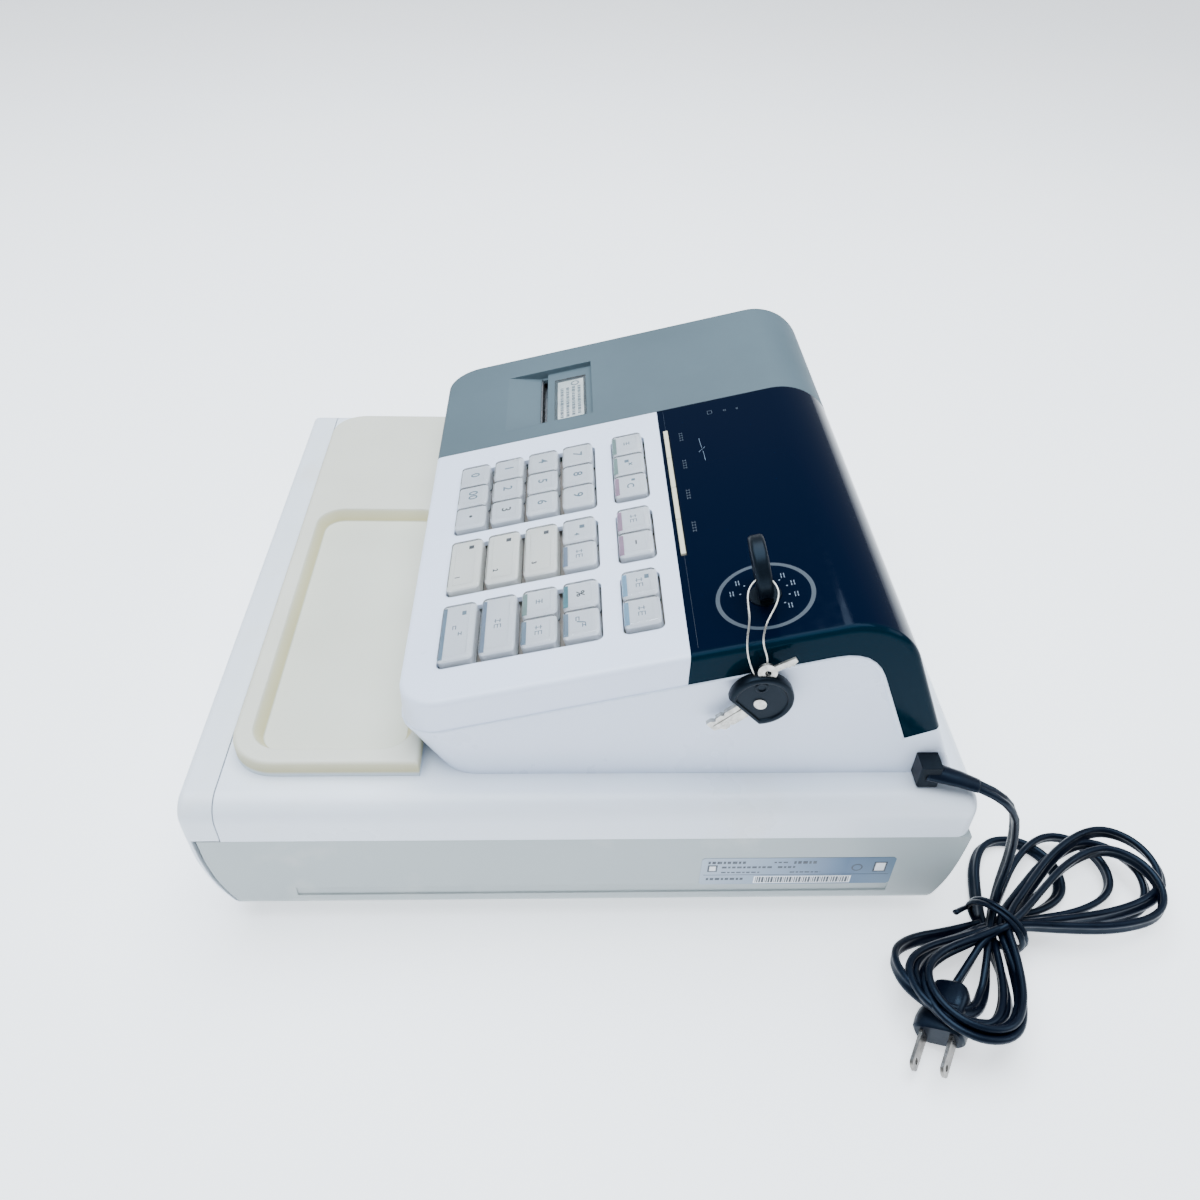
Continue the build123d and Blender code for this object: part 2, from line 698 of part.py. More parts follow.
def spare_keys():
    """A second operator's key and a small metal key, hanging against the side of the housing."""
    bx, by, bz = bow_point
    thick = bow_thickness - 0.6
    bow = Rot(0, 90, 0) * Cylinder(bow_diameter / 2, thick)
    bow &= Pos(0, 0, 4.5) * Box(60, 60, bow_diameter + 1)
    bow = fillet(bow.edges().filter_by(GeomType.CIRCLE), 1.3)
    blade = slab(-1.6, 1.6, -4, 4, -bow_diameter / 2 - 12, -bow_diameter / 2 + 6)
    blade -= slab(-2, 2, 1.4, 5, -bow_diameter / 2 - 13, -bow_diameter / 2 - 8)
    blade -= slab(-2, 2, -5, -2.6, -bow_diameter / 2 - 7, -bow_diameter / 2 - 4)
    key = Rot(-28, 0, 0) * (bow + blade) - Pos(0, -1.5, 10.2) * Rot(0, 90, 0) * Cylinder(2.6, 30)
    small = Rot(0, 90, 0) * Cylinder(4.6, 1.6)
    small += slab(-0.8, 0.8, -1.6, 1.6, -13, 0)
    small = Rot(-125, 0, 0) * small - Pos(0, 0, 0) * Rot(0, 90, 0) * Cylinder(1.5, 30)
    small = Pos(hang_x + 0.2, by + 3.9, bz + 15.6) * small
    return Compound(children=[Pos(bx, by, bz) * key, small])


# ---------------------------------------------------------------- printer
roller_u = (slot_u0 + slot_u1) / 2 + 5.8
roller_point = panel_point(0, roller_u, -ramp_depth - pocket_wall - platen_diameter / 2 - 1.2)
paper_mid = (pocket_x0 + 2 + pocket_x1 - 1) / 2
bed = case_height + 2.6
roll_y = roller_point.Y + platen_diameter / 2 + paper_diameter / 2 + 34
roll_z = bed + frame_wall + paper_diameter / 2 + 3.4


def printer_frame():
    """Folded frame with two cheeks, the print head in front of the roller and a steel tear bar."""
    half = paper_width / 2 + paper_side_gap
    y0 = roller_point.Y - 20
    y1 = roll_y + paper_diameter / 2 + 6
    base = slab(paper_mid - half - frame_wall, paper_mid + half + frame_wall, y0, y1, bed, bed + frame_wall)
    top = roller_point.Z + 5
    cheek = along_x([(y0, bed), (y0, top - 12), (y0 + 10, top - 4), (roller_point.Y + 9, top), (y1, roll_z + 6), (y1, bed)], 0, frame_wall)
    frame = base + Pos(paper_mid - half - frame_wall, 0, 0) * cheek + Pos(paper_mid + half, 0, 0) * cheek
    head_y = roller_point.Y - platen_diameter / 2 - 0.4
    frame += slab(paper_mid - half - 0.5, paper_mid + half + 0.5, head_y - 7, head_y, roller_point.Z - 12, roller_point.Z + 3)
    bar = slab(paper_mid - half + 2.5, paper_mid + half - 2.5, slot_u0 + 0.4, slot_u0 + 1.3, -ramp_depth - 15, -ramp_depth + 1.2)
    shaft_hole = Pos(paper_mid, roller_point.Y, roller_point.Z) * Rot(0, 90, 0) * Cylinder(platen_shaft / 2 + shaft_clearance, 100)
    spool_hole = Pos(paper_mid, roll_y, roll_z) * Rot(0, 90, 0) * Cylinder(platen_shaft / 2 + shaft_clearance, 100)
    return frame - shaft_hole - spool_hole + panel * bar


def platen_roller():
    """Rubber roller on its steel shaft, which turns in the frame's cheeks."""
    reach = paper_width + 2 * paper_side_gap + 2 * frame_wall + 5
    roller = Cylinder(platen_diameter / 2, paper_width) + Cylinder(platen_shaft / 2, reach)
    roller += Pos(0, 0, reach / 2 - 1) * Cylinder(platen_shaft / 2 + 2, 2)
    return Pos(paper_mid, roller_point.Y, roller_point.Z) * Rot(0, 90, 0) * roller


def paper_roll():
    """Roll of receipt paper on its spindle."""
    reach = paper_width + 2 * paper_side_gap + 2 * frame_wall + 3
    roll = Cylinder(paper_diameter / 2, paper_width) + Cylinder(platen_shaft / 2, reach)
    return Pos(paper_mid, roll_y, roll_z) * Rot(0, 90, 0) * roll


# ---------------------------------------------------------------- mains lead
def cord_gland():
    """Black strain relief in the side wall that turns the lead towards the back."""
    return fillet(gland_block(0.0).edges().filter_by(Axis.Z).group_by(Axis.X)[-1], 1.0)


def power_cord():
    """Twin lead from the strain relief over the cabinet's back corner and down to the hank."""
    radii = []
    for before, at, after in zip(cord_route, cord_route[1:], cord_route[2:]):
        one = Vector(*at) - Vector(*before)
        two = Vector(*after) - Vector(*at)
        turn = radians(one.get_angle(two))
        radii.append(0.45 * min(one.length, two.length) / tan(turn / 2))
    path = FilletPolyline(*cord_route, radius=radii)
    print("cord bend radii", [round(r, 1) for r in radii])
    section = Plane(origin=path @ 0, z_dir=path % 0) * Circle(cord_diameter / 2)
    return sweep(section, path=path)


plug_frame = Pos(*plug_place) * Rot(0, 0, plug_turn) * Rot(plug_roll, 0, 0)


def cord_hank():
    """Outer shape of the folded and tied spare length of lead."""
    hank = None
    for lobe in (hank_low_lobe, hank_high_lobe):
        for step, height in ((0, hank_height - hank_crown), (hank_crown, hank_height)):
            rounds = [Pos(x, y) * Circle(radius - step) for x, y, radius in [hank_tie] + lobe]
            edges = [edge for item in rounds for edge in item.edges()]
            layer = extrude(make_hull(edges), amount=height)
            hank = layer if hank is None else hank + layer
    return Pos(0, 0, 0.4) * hank - plug_frame * Box(plug_length + 1.2, plug_width + 1.2, plug_height + 1.2)


def power_plug():
    """Two-blade plug lying under the hank's end."""
    body = Box(plug_length, plug_width, plug_height)
    body = fillet(body.edges().filter_by(Axis.Z), 5)
    body = fillet(body.edges().group_by(Axis.Z)[-1] + body.edges().group_by(Axis.Z)[0], 2)
    x0 = plug_length / 2 - 1
    low = prong_pitch / 2 - prong_wall / 2
    blade = slab(x0, plug_length / 2 + prong_length, low, low + prong_wall, -prong_width / 2, prong_width / 2)
    body += blade + mirror(blade, Plane.XZ)
    return plug_frame * body


# ---------------------------------------------------------------- files
pieces = {
    "lower_case": lower_case(),
    "cabinet_top": cabinet_top(),
    "rubber_feet": rubber_feet(),
    "drawer_front": drawer_front(),
    "drawer_box": drawer_box(),
    "coin_insert": coin_insert(),
    "release_latch": release_latch(),
    "accessory_tray": accessory_tray(),
    "lower_housing": lower_housing(),
    "keyboard_housing": keyboard_housing(),
    "display_window": display_window(),
    "printer_cover": printer_cover(),
    "journal_window": journal_window(),
    "contact_sheet": contact_sheet(),
    "main_board": main_board(),
    "transformer": transformer(),
    "mode_key": mode_key(),
    "ring_wire": ring_wire(),
    "spare_keys": spare_keys(),
    "printer_frame": printer_frame(),
    "platen_roller": platen_roller(),
    "paper_roll": paper_roll(),
    "cord_gland": cord_gland(),
    "power_cord": power_cord(),
    "cord_hank": cord_hank(),
    "power_plug": power_plug(),
}
pieces.update(all_keys())
for place in range(4):
    pieces["button_" + str(place + 1)] = slim_button(place)

for name, shape in pieces.items():
    export_step(shape, "parts/" + name + ".step")
print(len(pieces), "pieces written")
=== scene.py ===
import math

import bmesh
import bpy
from mathutils import Matrix, Vector


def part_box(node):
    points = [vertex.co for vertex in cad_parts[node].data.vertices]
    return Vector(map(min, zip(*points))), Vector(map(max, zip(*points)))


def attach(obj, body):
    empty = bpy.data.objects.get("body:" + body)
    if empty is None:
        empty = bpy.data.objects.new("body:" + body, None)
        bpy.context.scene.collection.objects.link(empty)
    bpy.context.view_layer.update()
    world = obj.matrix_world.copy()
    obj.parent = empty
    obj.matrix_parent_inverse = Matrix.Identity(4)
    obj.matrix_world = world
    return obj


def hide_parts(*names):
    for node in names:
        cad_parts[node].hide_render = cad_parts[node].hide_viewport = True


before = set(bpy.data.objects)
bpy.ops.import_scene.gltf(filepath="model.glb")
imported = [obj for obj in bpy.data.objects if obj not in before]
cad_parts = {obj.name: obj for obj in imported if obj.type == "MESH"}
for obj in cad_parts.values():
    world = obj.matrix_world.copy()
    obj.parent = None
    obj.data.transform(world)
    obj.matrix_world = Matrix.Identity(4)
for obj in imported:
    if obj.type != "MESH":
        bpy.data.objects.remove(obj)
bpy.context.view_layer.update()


# ------------------------------------------------------------------ view and light
# The machine stands on a pale paper sweep under big soft lamps, seen from
# the operator's right and from above. Lengths are metres.
camera_data = bpy.data.cameras.new("counter_view")
camera_data.lens = 30.15
camera_data.sensor_width = 36.0
camera_data.clip_start = 0.01
camera = bpy.data.objects.new("counter_view", camera_data)
camera.location = (0.42868, -0.01166, 0.42358)
camera.rotation_euler = [math.radians(a) for a in (49.5163, -1.6537, 88.3346)]
bpy.context.collection.objects.link(camera)
bpy.context.scene.camera = camera


def soft_lamp(name, place, aim, size, power, tint):
    lamp = bpy.data.lights.new(name, "AREA")
    lamp.shape = "RECTANGLE"
    lamp.size, lamp.size_y = size
    lamp.energy = power
    lamp.color = tint
    holder = bpy.data.objects.new(name, lamp)
    holder.location = place
    holder.rotation_euler = (Vector(aim) - Vector(place)).to_track_quat("-Z", "Y").to_euler()
    bpy.context.collection.objects.link(holder)


soft_lamp("overhead", (-0.15, -0.1, 1.5), (0, 0, 0.1), (1.7, 1.5), 66.0, (0.85, 0.93, 1.0))
soft_lamp("front_fill", (1.3, -0.7, 0.7), (0, 0, 0.08), (1.0, 0.8), 3.5, (0.88, 0.94, 1.0))
soft_lamp("rear_rim", (0.2, 1.3, 0.8), (0.1, 0.1, 0.1), (1.1, 0.5), 7.0, (0.92, 0.96, 1.0))

world = bpy.data.worlds.new("pale_room")
world.use_nodes = True
bpy.context.scene.world = world
sky = world.node_tree.nodes["Background"]
sky.inputs["Color"].default_value = (0.82, 0.9, 1.0, 1.0)
sky.inputs["Strength"].default_value = 0.5
wall = world.node_tree.nodes.new("ShaderNodeBackground")
wall.inputs["Color"].default_value = (0.95, 0.97, 1.0, 1.0)
wall.inputs["Strength"].default_value = 2.2
seen = world.node_tree.nodes.new("ShaderNodeLightPath")
either = world.node_tree.nodes.new("ShaderNodeMixShader")
world.node_tree.links.new(seen.outputs["Is Camera Ray"], either.inputs["Fac"])
world.node_tree.links.new(sky.outputs["Background"], either.inputs[1])
world.node_tree.links.new(wall.outputs["Background"], either.inputs[2])
world.node_tree.links.new(either.outputs["Shader"], world.node_tree.nodes["World Output"].inputs["Surface"])


def shade(code):
    """Linear colour of a six-figure screen colour."""
    values = [int(code[i:i + 2], 16) / 255 for i in (0, 2, 4)]
    return tuple(v / 12.92 if v <= 0.04045 else ((v + 0.055) / 1.055) ** 2.4 for v in values) + (1.0,)


def finish_tree(name):
    """New material with its shader, and the object coordinates for its texture."""
    material = bpy.data.materials.new(name)
    material.use_nodes = True
    tree = material.node_tree
    coordinates = tree.nodes.new("ShaderNodeTexCoord").outputs["Object"]
    return material, tree, tree.nodes["Principled BSDF"], coordinates


def noise(tree, coordinates, scale, detail=3.0):
    node = tree.nodes.new("ShaderNodeTexNoise")
    node.inputs["Scale"].default_value = scale
    node.inputs["Detail"].default_value = detail
    tree.links.new(coordinates, node.inputs["Vector"])
    return node.outputs["Fac"]


def ramp(tree, source, stops):
    node = tree.nodes.new("ShaderNodeValToRGB")
    elements = node.color_ramp.elements
    elements[0].position, elements[0].color = stops[0]
    elements[1].position, elements[1].color = stops[-1]
    for place, colour in stops[1:-1]:
        elements.new(place).color = colour
    tree.links.new(source, node.inputs["Fac"])
    return node.outputs["Color"]


def span(tree, source, low, high):
    """The source's 0.3 to 0.7 stretched to low and high."""
    node = tree.nodes.new("ShaderNodeMapRange")
    node.inputs["From Min"].default_value = 0.3
    node.inputs["From Max"].default_value = 0.7
    node.inputs["To Min"].default_value = low
    node.inputs["To Max"].default_value = high
    tree.links.new(source, node.inputs["Value"])
    return node.outputs["Result"]


def two_tone(name, scale, dark, light, rough_scale, rough_low, rough_high):
    """New material clouded between two colours, with an uneven sheen."""
    material, tree, shader, place = finish_tree(name)
    colour = ramp(tree, noise(tree, place, scale), [(0.3, dark), (0.7, light)])
    sheen = span(tree, noise(tree, place, rough_scale), rough_low, rough_high)
    tree.links.new(colour, shader.inputs["Base Color"])
    tree.links.new(sheen, shader.inputs["Roughness"])
    return material, tree, shader, place


floor_size = 12.0
floor_mesh = bpy.data.meshes.new("paper_sweep")
corners = [
    (-floor_size, -floor_size, 0), (floor_size, -floor_size, 0), (floor_size, floor_size, 0),
    (-floor_size, floor_size, 0),
]
floor_mesh.from_pydata(corners, [], [(0, 1, 2, 3)])
floor = bpy.data.objects.new("paper_sweep", floor_mesh)
bpy.context.collection.objects.link(floor)
paper, tree, shader, place = two_tone("paper_sweep", 3.0, shade("F6F8FB"), shade("FBFCFE"), 40.0, 0.82, 0.9)
shader.inputs["Emission Color"].default_value = (0.93, 0.96, 1.0, 1.0)
shader.inputs["Emission Strength"].default_value = 1.05
floor_mesh.materials.append(paper)


# ------------------------------------------------------------------ mains lead
# A flat twin lead, two cores side by side in black vinyl, 6.4 mm across. It
# leaves the strain relief, drops behind the cabinet and the rest of its
# 1.8 m is folded over and over and tied in the middle with a black twist.
lead_width = 0.0064
lead_thickness = 0.0034
route = [
    (0.1506, 0.1520, 0.0882),
    (0.1600, 0.1830, 0.0865),
    (0.1580, 0.1960, 0.0500),
    (0.1660, 0.1930, 0.0120),
    (0.1980, 0.1800, 0.0120),
]
tie_point = Vector((0.178, 0.191))
low_end = Vector((0.235, 0.143))
high_end = Vector((0.133, 0.285))
low_way = (low_end - tie_point).normalized()
high_way = (high_end - tie_point).normalized()
low_side = Vector((-low_way.y, low_way.x))
high_side = Vector((high_way.y, -high_way.x))
# each fold: the reach, half width and lean in degrees of its low loop, the
# same three of its high loop, and the height of its lead above the floor
folds = [
    (0.0600, 0.0205, -6.0, 0.0600, 0.0210, 20.0, 0.0036),
    (0.0610, 0.0210, 5.0, 0.0780, 0.0205, 6.0, 0.0070),
    (0.0630, 0.0210, -3.0, 0.0860, 0.0210, -3.0, 0.0104),
    (0.0655, 0.0215, 3.0, 0.0940, 0.0215, 0.0, 0.0138),
    (0.0620, 0.0205, -2.0, 0.0820, 0.0205, -6.0, 0.0172),
]


def loop_points(start, way, side, reach, half, level, lift):
    """Points of one loop: out along one side, round its end and back along the other."""
    points = []
    shoulder = reach - 0.586 * half
    outline = [(0.30 * shoulder, 0.42), (0.66 * shoulder, 0.90), (shoulder, 1.0), (reach, 0.414)]
    for hand, line in ((1, outline), (-1, reversed(outline))):
        for along, wide in line:
            at = start + way * along + side * (hand * half * wide)
            points.append((at.x, at.y, level + lift * (along / reach) ** 2))
    return points


fold_gap = 0.0030
first_lift, less_lift = 0.0165, 0.0022
lead_points = list(route)
for turn, (low_reach, low_half, low_lean, high_reach, high_half, high_lean, level) in enumerate(folds):
    middle = tie_point + low_side * ((turn - 2) * fold_gap)
    leaning = Matrix.Rotation(math.radians(low_lean), 2)
    lift = first_lift - less_lift * turn
    low_loop = loop_points(middle, leaning @ low_way, leaning @ low_side, low_reach, low_half, level, lift)
    # the route's last point already starts the first loop
    lead_points += low_loop[1:] if turn == 0 else low_loop
    lead_points.append((middle.x, middle.y, level + 0.0014))
    leaning = Matrix.Rotation(math.radians(high_lean), 2)
    lead_points += loop_points(
        middle, leaning @ high_way, leaning @ high_side, high_reach, high_half, level, 0.0,
    )
    lead_points.append((middle.x, middle.y, level + 0.0030))
lead_points += [(0.1870, 0.1815, 0.0160), (0.1960, 0.1735, 0.0122), (0.2090, 0.1617, 0.0114)]

lead_line = bpy.data.curves.new("lead_line", "CURVE")
lead_line.dimensions = "3D"
spline = lead_line.splines.new("NURBS")
spline.points.add(len(lead_points) - 1)
for point, at in zip(spline.points, lead_points):
    point.co = (*at, 1.0)
spline.order_u = 3
spline.use_endpoint_u = True
spline.resolution_u = 6


def line_points(curve):
    """Points along a curve as Blender draws it."""
    holder = bpy.data.objects.new("line_holder", curve)
    mesh = bpy.data.meshes.new_from_object(holder)
    points = [v.co.copy() for v in mesh.vertices]
    bpy.data.meshes.remove(mesh)
    bpy.data.objects.remove(holder)
    return points


def new_piece(name, mesh, body, *materials):
    """Object made of a finished mesh that rides on a body."""
    mesh.name = name
    piece = bpy.data.objects.new(name, mesh)
    bpy.context.collection.objects.link(piece)
    for material in materials:
        mesh.materials.append(material)
    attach(piece, body)
    return piece


def tube(points, outline, twist=None, scales=None, upright=(0, 0, 1)):
    """Mesh of an outline carried along points, its second axis turned slowly to the upright."""
    shape = bmesh.new()
    rings = []
    last_up = Vector((1, 0.2, 0))
    most_turn = math.radians(7)
    for i, at in enumerate(points):
        ahead = (points[min(i + 1, len(points) - 1)] - points[max(i - 1, 0)]).normalized()
        wanted = Vector(upright) - ahead * ahead.dot(Vector(upright))
        up = (last_up - ahead * ahead.dot(last_up)).normalized()
        if wanted.length >= 0.25:
            wanted.normalize()
            turn = math.atan2(ahead.dot(up.cross(wanted)), up.dot(wanted))
            if i > 0:
                turn = max(-most_turn, min(most_turn, turn))
            up = Matrix.Rotation(turn, 3, ahead) @ up
        last_up = up
        across = ahead.cross(up)
        turn = twist(i) if twist else 0.0
        one = across * math.cos(turn) + up * math.sin(turn)
        two = up * math.cos(turn) - across * math.sin(turn)
        size = scales(i) if scales else 1.0
        rings.append([shape.verts.new(at + one * (a * size) + two * (b * size)) for a, b in outline])
    count = len(outline)
    for one, two in zip(rings, rings[1:]):
        for k in range(count):
            shape.faces.new((one[k], two[k], two[(k + 1) % count], one[(k + 1) % count]))
    shape.faces.new(list(reversed(rings[0])))
    shape.faces.new(rings[-1])
    bmesh.ops.recalc_face_normals(shape, faces=shape.faces)
    mesh = bpy.data.meshes.new("tube")
    shape.to_mesh(mesh)
    shape.free()
    for face in mesh.polygons:
        face.use_smooth = True
    return mesh


def twin_outline(width, thickness, steps=7):
    """Section of a flat twin lead: two round cores with a shallow valley between them."""
    points = []
    radius = thickness / 2
    centre = width / 2 - radius
    for side in (1, -1):
        for step in range(steps):
            angle = -math.radians(105) + math.radians(210) * step / (steps - 1)
            points.append((side * (centre + radius * math.cos(angle)), side * radius * math.sin(angle)))
        points.append((0.0, side * radius * 0.55))
    return points


def lead_twist(i):
    """The lead leaves the boot flat, then turns on edge and rolls a little in its folds."""
    along = i / len(lead_path)
    turned = min(1.0, max(0.0, along - 0.022) * 18)
    roll = 0.55 * math.sin(23 * along * math.pi) + 0.35 * math.sin(61 * along + 1.0)
    return turned * (math.pi / 2 + roll)


lead_path = line_points(lead_line)
lead_mesh = tube(lead_path, twin_outline(lead_width, lead_thickness), lead_twist)

vinyl_dark, vinyl_light = (0.0006, 0.0010, 0.0040, 1), (0.0016, 0.0032, 0.0085, 1)
vinyl, tree, shader, place = two_tone("black_vinyl", 55.0, vinyl_dark, vinyl_light, 130.0, 0.26, 0.42)
shader.inputs["Specular IOR Level"].default_value = 0.22
shader.inputs["Specular Tint"].default_value = (0.45, 0.70, 1.0, 1.0)


def grain(tree, shader, coordinates, scale, strength, distance=0.0001):
    """Fine moulded or rubbed grain as a bump."""
    bump = tree.nodes.new("ShaderNodeBump")
    bump.inputs["Strength"].default_value = strength
    bump.inputs["Distance"].default_value = distance
    tree.links.new(noise(tree, coordinates, scale), bump.inputs["Height"])
    tree.links.new(bump.outputs["Normal"], shader.inputs["Normal"])
    return bump


grain(tree, shader, place, 700.0, 0.25)
lead = new_piece("power_lead", lead_mesh, "cabinet", vinyl)
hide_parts("power_cord", "cord_hank")

# smooth tapered boot over the first 24 mm of the lead
boot_length = 0.024
boot_points = [lead_path[0] - (lead_path[1] - lead_path[0]).normalized() * 0.004]
walked = 0.0
for before, at in zip(lead_path, lead_path[1:]):
    boot_points.append(before)
    walked += (at - before).length
    if walked > boot_length:
        break


def finer(points, step):
    """The same line with a point every step."""
    result = [points[0]]
    for one, two in zip(points, points[1:]):
        pieces = max(1, round((two - one).length / step))
        result += [one.lerp(two, k / pieces) for k in range(1, pieces + 1)]
    return result


boot_line = finer(boot_points, 0.001)


def oval(a, b, half_a, half_b, count):
    """Points round an ellipse about (a, b)."""
    turns = [2 * math.pi * k / count for k in range(count)]
    return [(a + half_a * math.cos(turn), b + half_b * math.sin(turn)) for turn in turns]


def boot_scale(i):
    share = i / len(boot_line)
    return 1.0 - 0.34 * share


boot_outline = oval(0, 0, 0.0054, 0.0034, 20)
boot_piece = new_piece("lead_boot", tube(boot_line, boot_outline, scales=boot_scale), "cabinet", vinyl)

# the black twist that holds the hank: one and three quarter turns and a short end
tie_way = Vector((low_way.x - high_way.x, low_way.y - high_way.y, 0)).normalized()
tie_across = Vector((-tie_way.y, tie_way.x, 0))
tie_line = []
for step in range(40):
    angle = math.radians(-60 + 15.5 * step)
    wide = tie_across * (0.0142 * math.cos(angle))
    tall = Vector((0, 0, 0.0124 + 0.0108 * math.sin(angle)))
    drift = tie_way * (0.0022 * (step / 20 - 1))
    tie_line.append(Vector((tie_point.x, tie_point.y, 0)) + wide + tall + drift)
tie_line += [tie_line[-1] + Vector((0.002, -0.003, 0.002)), tie_line[-1] + Vector((0.005, -0.008, 0.0035))]
tie_outline = oval(0, 0, 0.0016, 0.0012, 10)
tie_piece = new_piece("twist_tie", tube(finer(tie_line, 0.0012), tie_outline), "cabinet", vinyl)

# two-blade plug: a moulded grip with finger steps at its sides, and nickel-plated blades with holes
plug_middle = Vector((0.2189, 0.1557, 0.0114))
plug_place = Matrix.Translation(plug_middle) @ Matrix.Rotation(math.radians(-30.7), 4, "Z")
plug_place = plug_place @ Matrix.Rotation(math.radians(28), 4, "X")


def plate(shape, outline, low, high, place=None, material=0):
    """Adds a flat plate: an outline of (a, b) points between two heights."""
    bottom = [shape.verts.new((a, b, low)) for a, b in outline]
    top = [shape.verts.new((a, b, high)) for a, b in outline]
    faces = [shape.faces.new(list(reversed(bottom))), shape.faces.new(top)]
    for k in range(len(outline)):
        n = (k + 1) % len(outline)
        faces.append(shape.faces.new((bottom[k], bottom[n], top[n], top[k])))
    for face in faces:
        face.material_index = material
    if place is not None:
        for vert in bottom + top:
            vert.co = place @ vert.co
    return faces


def finished(shape, smooth=True):
    bmesh.ops.recalc_face_normals(shape, faces=shape.faces)
    mesh = bpy.data.meshes.new("made")
    shape.to_mesh(mesh)
    shape.free()
    if smooth:
        for face in mesh.polygons:
            face.use_smooth = True
        mesh.set_sharp_from_angle(angle=math.radians(32))
    return mesh


plug_shape = bmesh.new()
plug_corners = 20
squareness = 0.55
# the grip from its lead end to its face: place along it, half width and half height
stations = [
    (-0.0130, 0.0058, 0.0046), (-0.0118, 0.0072, 0.0056), (-0.0060, 0.0094, 0.0062),
    (-0.0020, 0.0088, 0.0061), (0.0010, 0.0086, 0.0061), (0.0040, 0.0104, 0.0064), (0.0075, 0.0110, 0.0065),
    (0.0118, 0.0108, 0.0063), (0.0130, 0.0098, 0.0055),
]
previous = None
for along, half_width, half_height in stations:
    ring = []
    for k in range(plug_corners):
        angle = 2 * math.pi * k / plug_corners
        c, s = math.cos(angle), math.sin(angle)
        across = half_width * math.copysign(abs(c) ** squareness, c)
        up = half_height * math.copysign(abs(s) ** squareness, s)
        ring.append(plug_shape.verts.new((along, across, up)))
    if previous:
        for k in range(plug_corners):
            n = (k + 1) % plug_corners
            plug_shape.faces.new((previous[k], ring[k], ring[n], previous[n]))
    else:
        plug_shape.faces.new(list(reversed(ring)))
    previous = ring
plug_shape.faces.new(previous)
for vert in plug_shape.verts:
    vert.co = plug_place @ vert.co
plug_mesh = finished(plug_shape)
plug_piece = new_piece("plug_grip", plug_mesh, "cabinet", vinyl)

nickel, tree, shader, place = two_tone(
    "nickel_blade", 220.0, shade("6A6763"), shade("928E89"), 300.0, 0.22, 0.42,
)
shader.inputs["Metallic"].default_value = 1.0
grain(tree, shader, place, 900.0, 0.2)


def skin(shape, rings):
    """Adds the faces between each ring of points and the next."""
    for one, two in zip(rings, rings[1:]):
        for k in range(len(one)):
            n = (k + 1) % len(one)
            shape.faces.new((one[k], one[n], two[n], two[k]))


def pierced_plate(shape, outline, hole, half, place):
    """Adds a flat plate with one hole through it, half a thickness each side of its middle."""
    levels = []
    for height in (-half, half):
        rings = []
        for line in (outline, hole):
            rings.append([shape.verts.new(place @ Vector((a, b, height))) for a, b in line])
        loops = []
        for ring in rings:
            loops += [shape.edges.new((ring[k], ring[(k + 1) % len(ring)])) for k in range(len(ring))]
        bmesh.ops.triangle_fill(shape, use_beauty=True, edges=loops)
        levels.append(rings)
    for low_ring, high_ring in zip(*levels):
        skin(shape, (low_ring, high_ring))


plug_face = 0.0130
blade_tip = plug_face + 0.0170
blade_side = 0.00315
blade_hole = oval(plug_face + 0.0133, 0, 0.0014, 0.0014, 12)
blade_edge = [
    (0.0125, -blade_side), (blade_tip - 0.0016, -blade_side), (blade_tip - 0.0004, -0.0021),
    (blade_tip, -0.0008), (blade_tip, 0.0008), (blade_tip - 0.0004, 0.0021),
    (blade_tip - 0.0016, blade_side), (0.0125, blade_side),
]
blade_shape = bmesh.new()
for blade_middle in (-0.00635, 0.00635):
    stand = Matrix.Translation((0, blade_middle, 0)) @ Matrix.Rotation(math.radians(90), 4, "X")
    pierced_plate(blade_shape, blade_edge, blade_hole, 0.00075, plug_place @ stand)
blades = new_piece("plug_blades", finished(blade_shape), "cabinet", nickel)
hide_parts("power_plug")


# ------------------------------------------------------------------ feet and lower case
# The lower case is one polystyrene moulding, a cool light grey with a fine
# spark-eroded grain; four rubber pads are pressed under it.


def soft_edges(tree, bump, radius):
    """Rounds the shading of hard edges under the grain."""
    bevel = tree.nodes.new("ShaderNodeBevel")
    bevel.samples = 4
    bevel.inputs["Radius"].default_value = radius
    tree.links.new(bevel.outputs["Normal"], bump.inputs["Normal"])


def moulded(name, light, dark, rough, grain_scale=1100.0, grain_depth=0.22, dirt=None, edge_round=0.0007):
    """Moulded plastic: cloudy tint, uneven sheen, fine grain, softened edges and rubbed-in dirt."""
    material, tree, shader, place = finish_tree(name)
    colour = ramp(tree, noise(tree, place, 9.0, 5.0), [(0.32, shade(dark)), (0.68, shade(light))])
    if dirt:
        patches = ramp(
            tree, noise(tree, place, 34.0, 9.0), [(0.55, (0, 0, 0, 1)), (0.78, (0.55, 0.55, 0.55, 1))],
        )
        mix = tree.nodes.new("ShaderNodeMix")
        mix.data_type = "RGBA"
        tree.links.new(patches, mix.inputs["Factor"])
        tree.links.new(colour, mix.inputs["A"])
        mix.inputs["B"].default_value = shade(dirt)
        colour = mix.outputs["Result"]
    tree.links.new(colour, shader.inputs["Base Color"])
    tree.links.new(
        span(tree, noise(tree, place, 26.0, 6.0), rough - 0.05, rough + 0.07), shader.inputs["Roughness"],
    )
    bump = grain(tree, shader, place, grain_scale, grain_depth)
    if edge_round > 0:
        soft_edges(tree, bump, edge_round)
    return material


def paint(node, material):
    """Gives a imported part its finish; its mesh stays as it is."""
    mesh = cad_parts[node].data
    mesh.materials.clear()
    mesh.materials.append(material)


paint("rubber_feet", moulded("foot_rubber", "2A2C2E", "1B1D1F", 0.75))
case_plastic = moulded("case_plastic", "A6AFB0", "9CA6A8", 0.36, dirt="C9CAC6")
paint("lower_case", case_plastic)

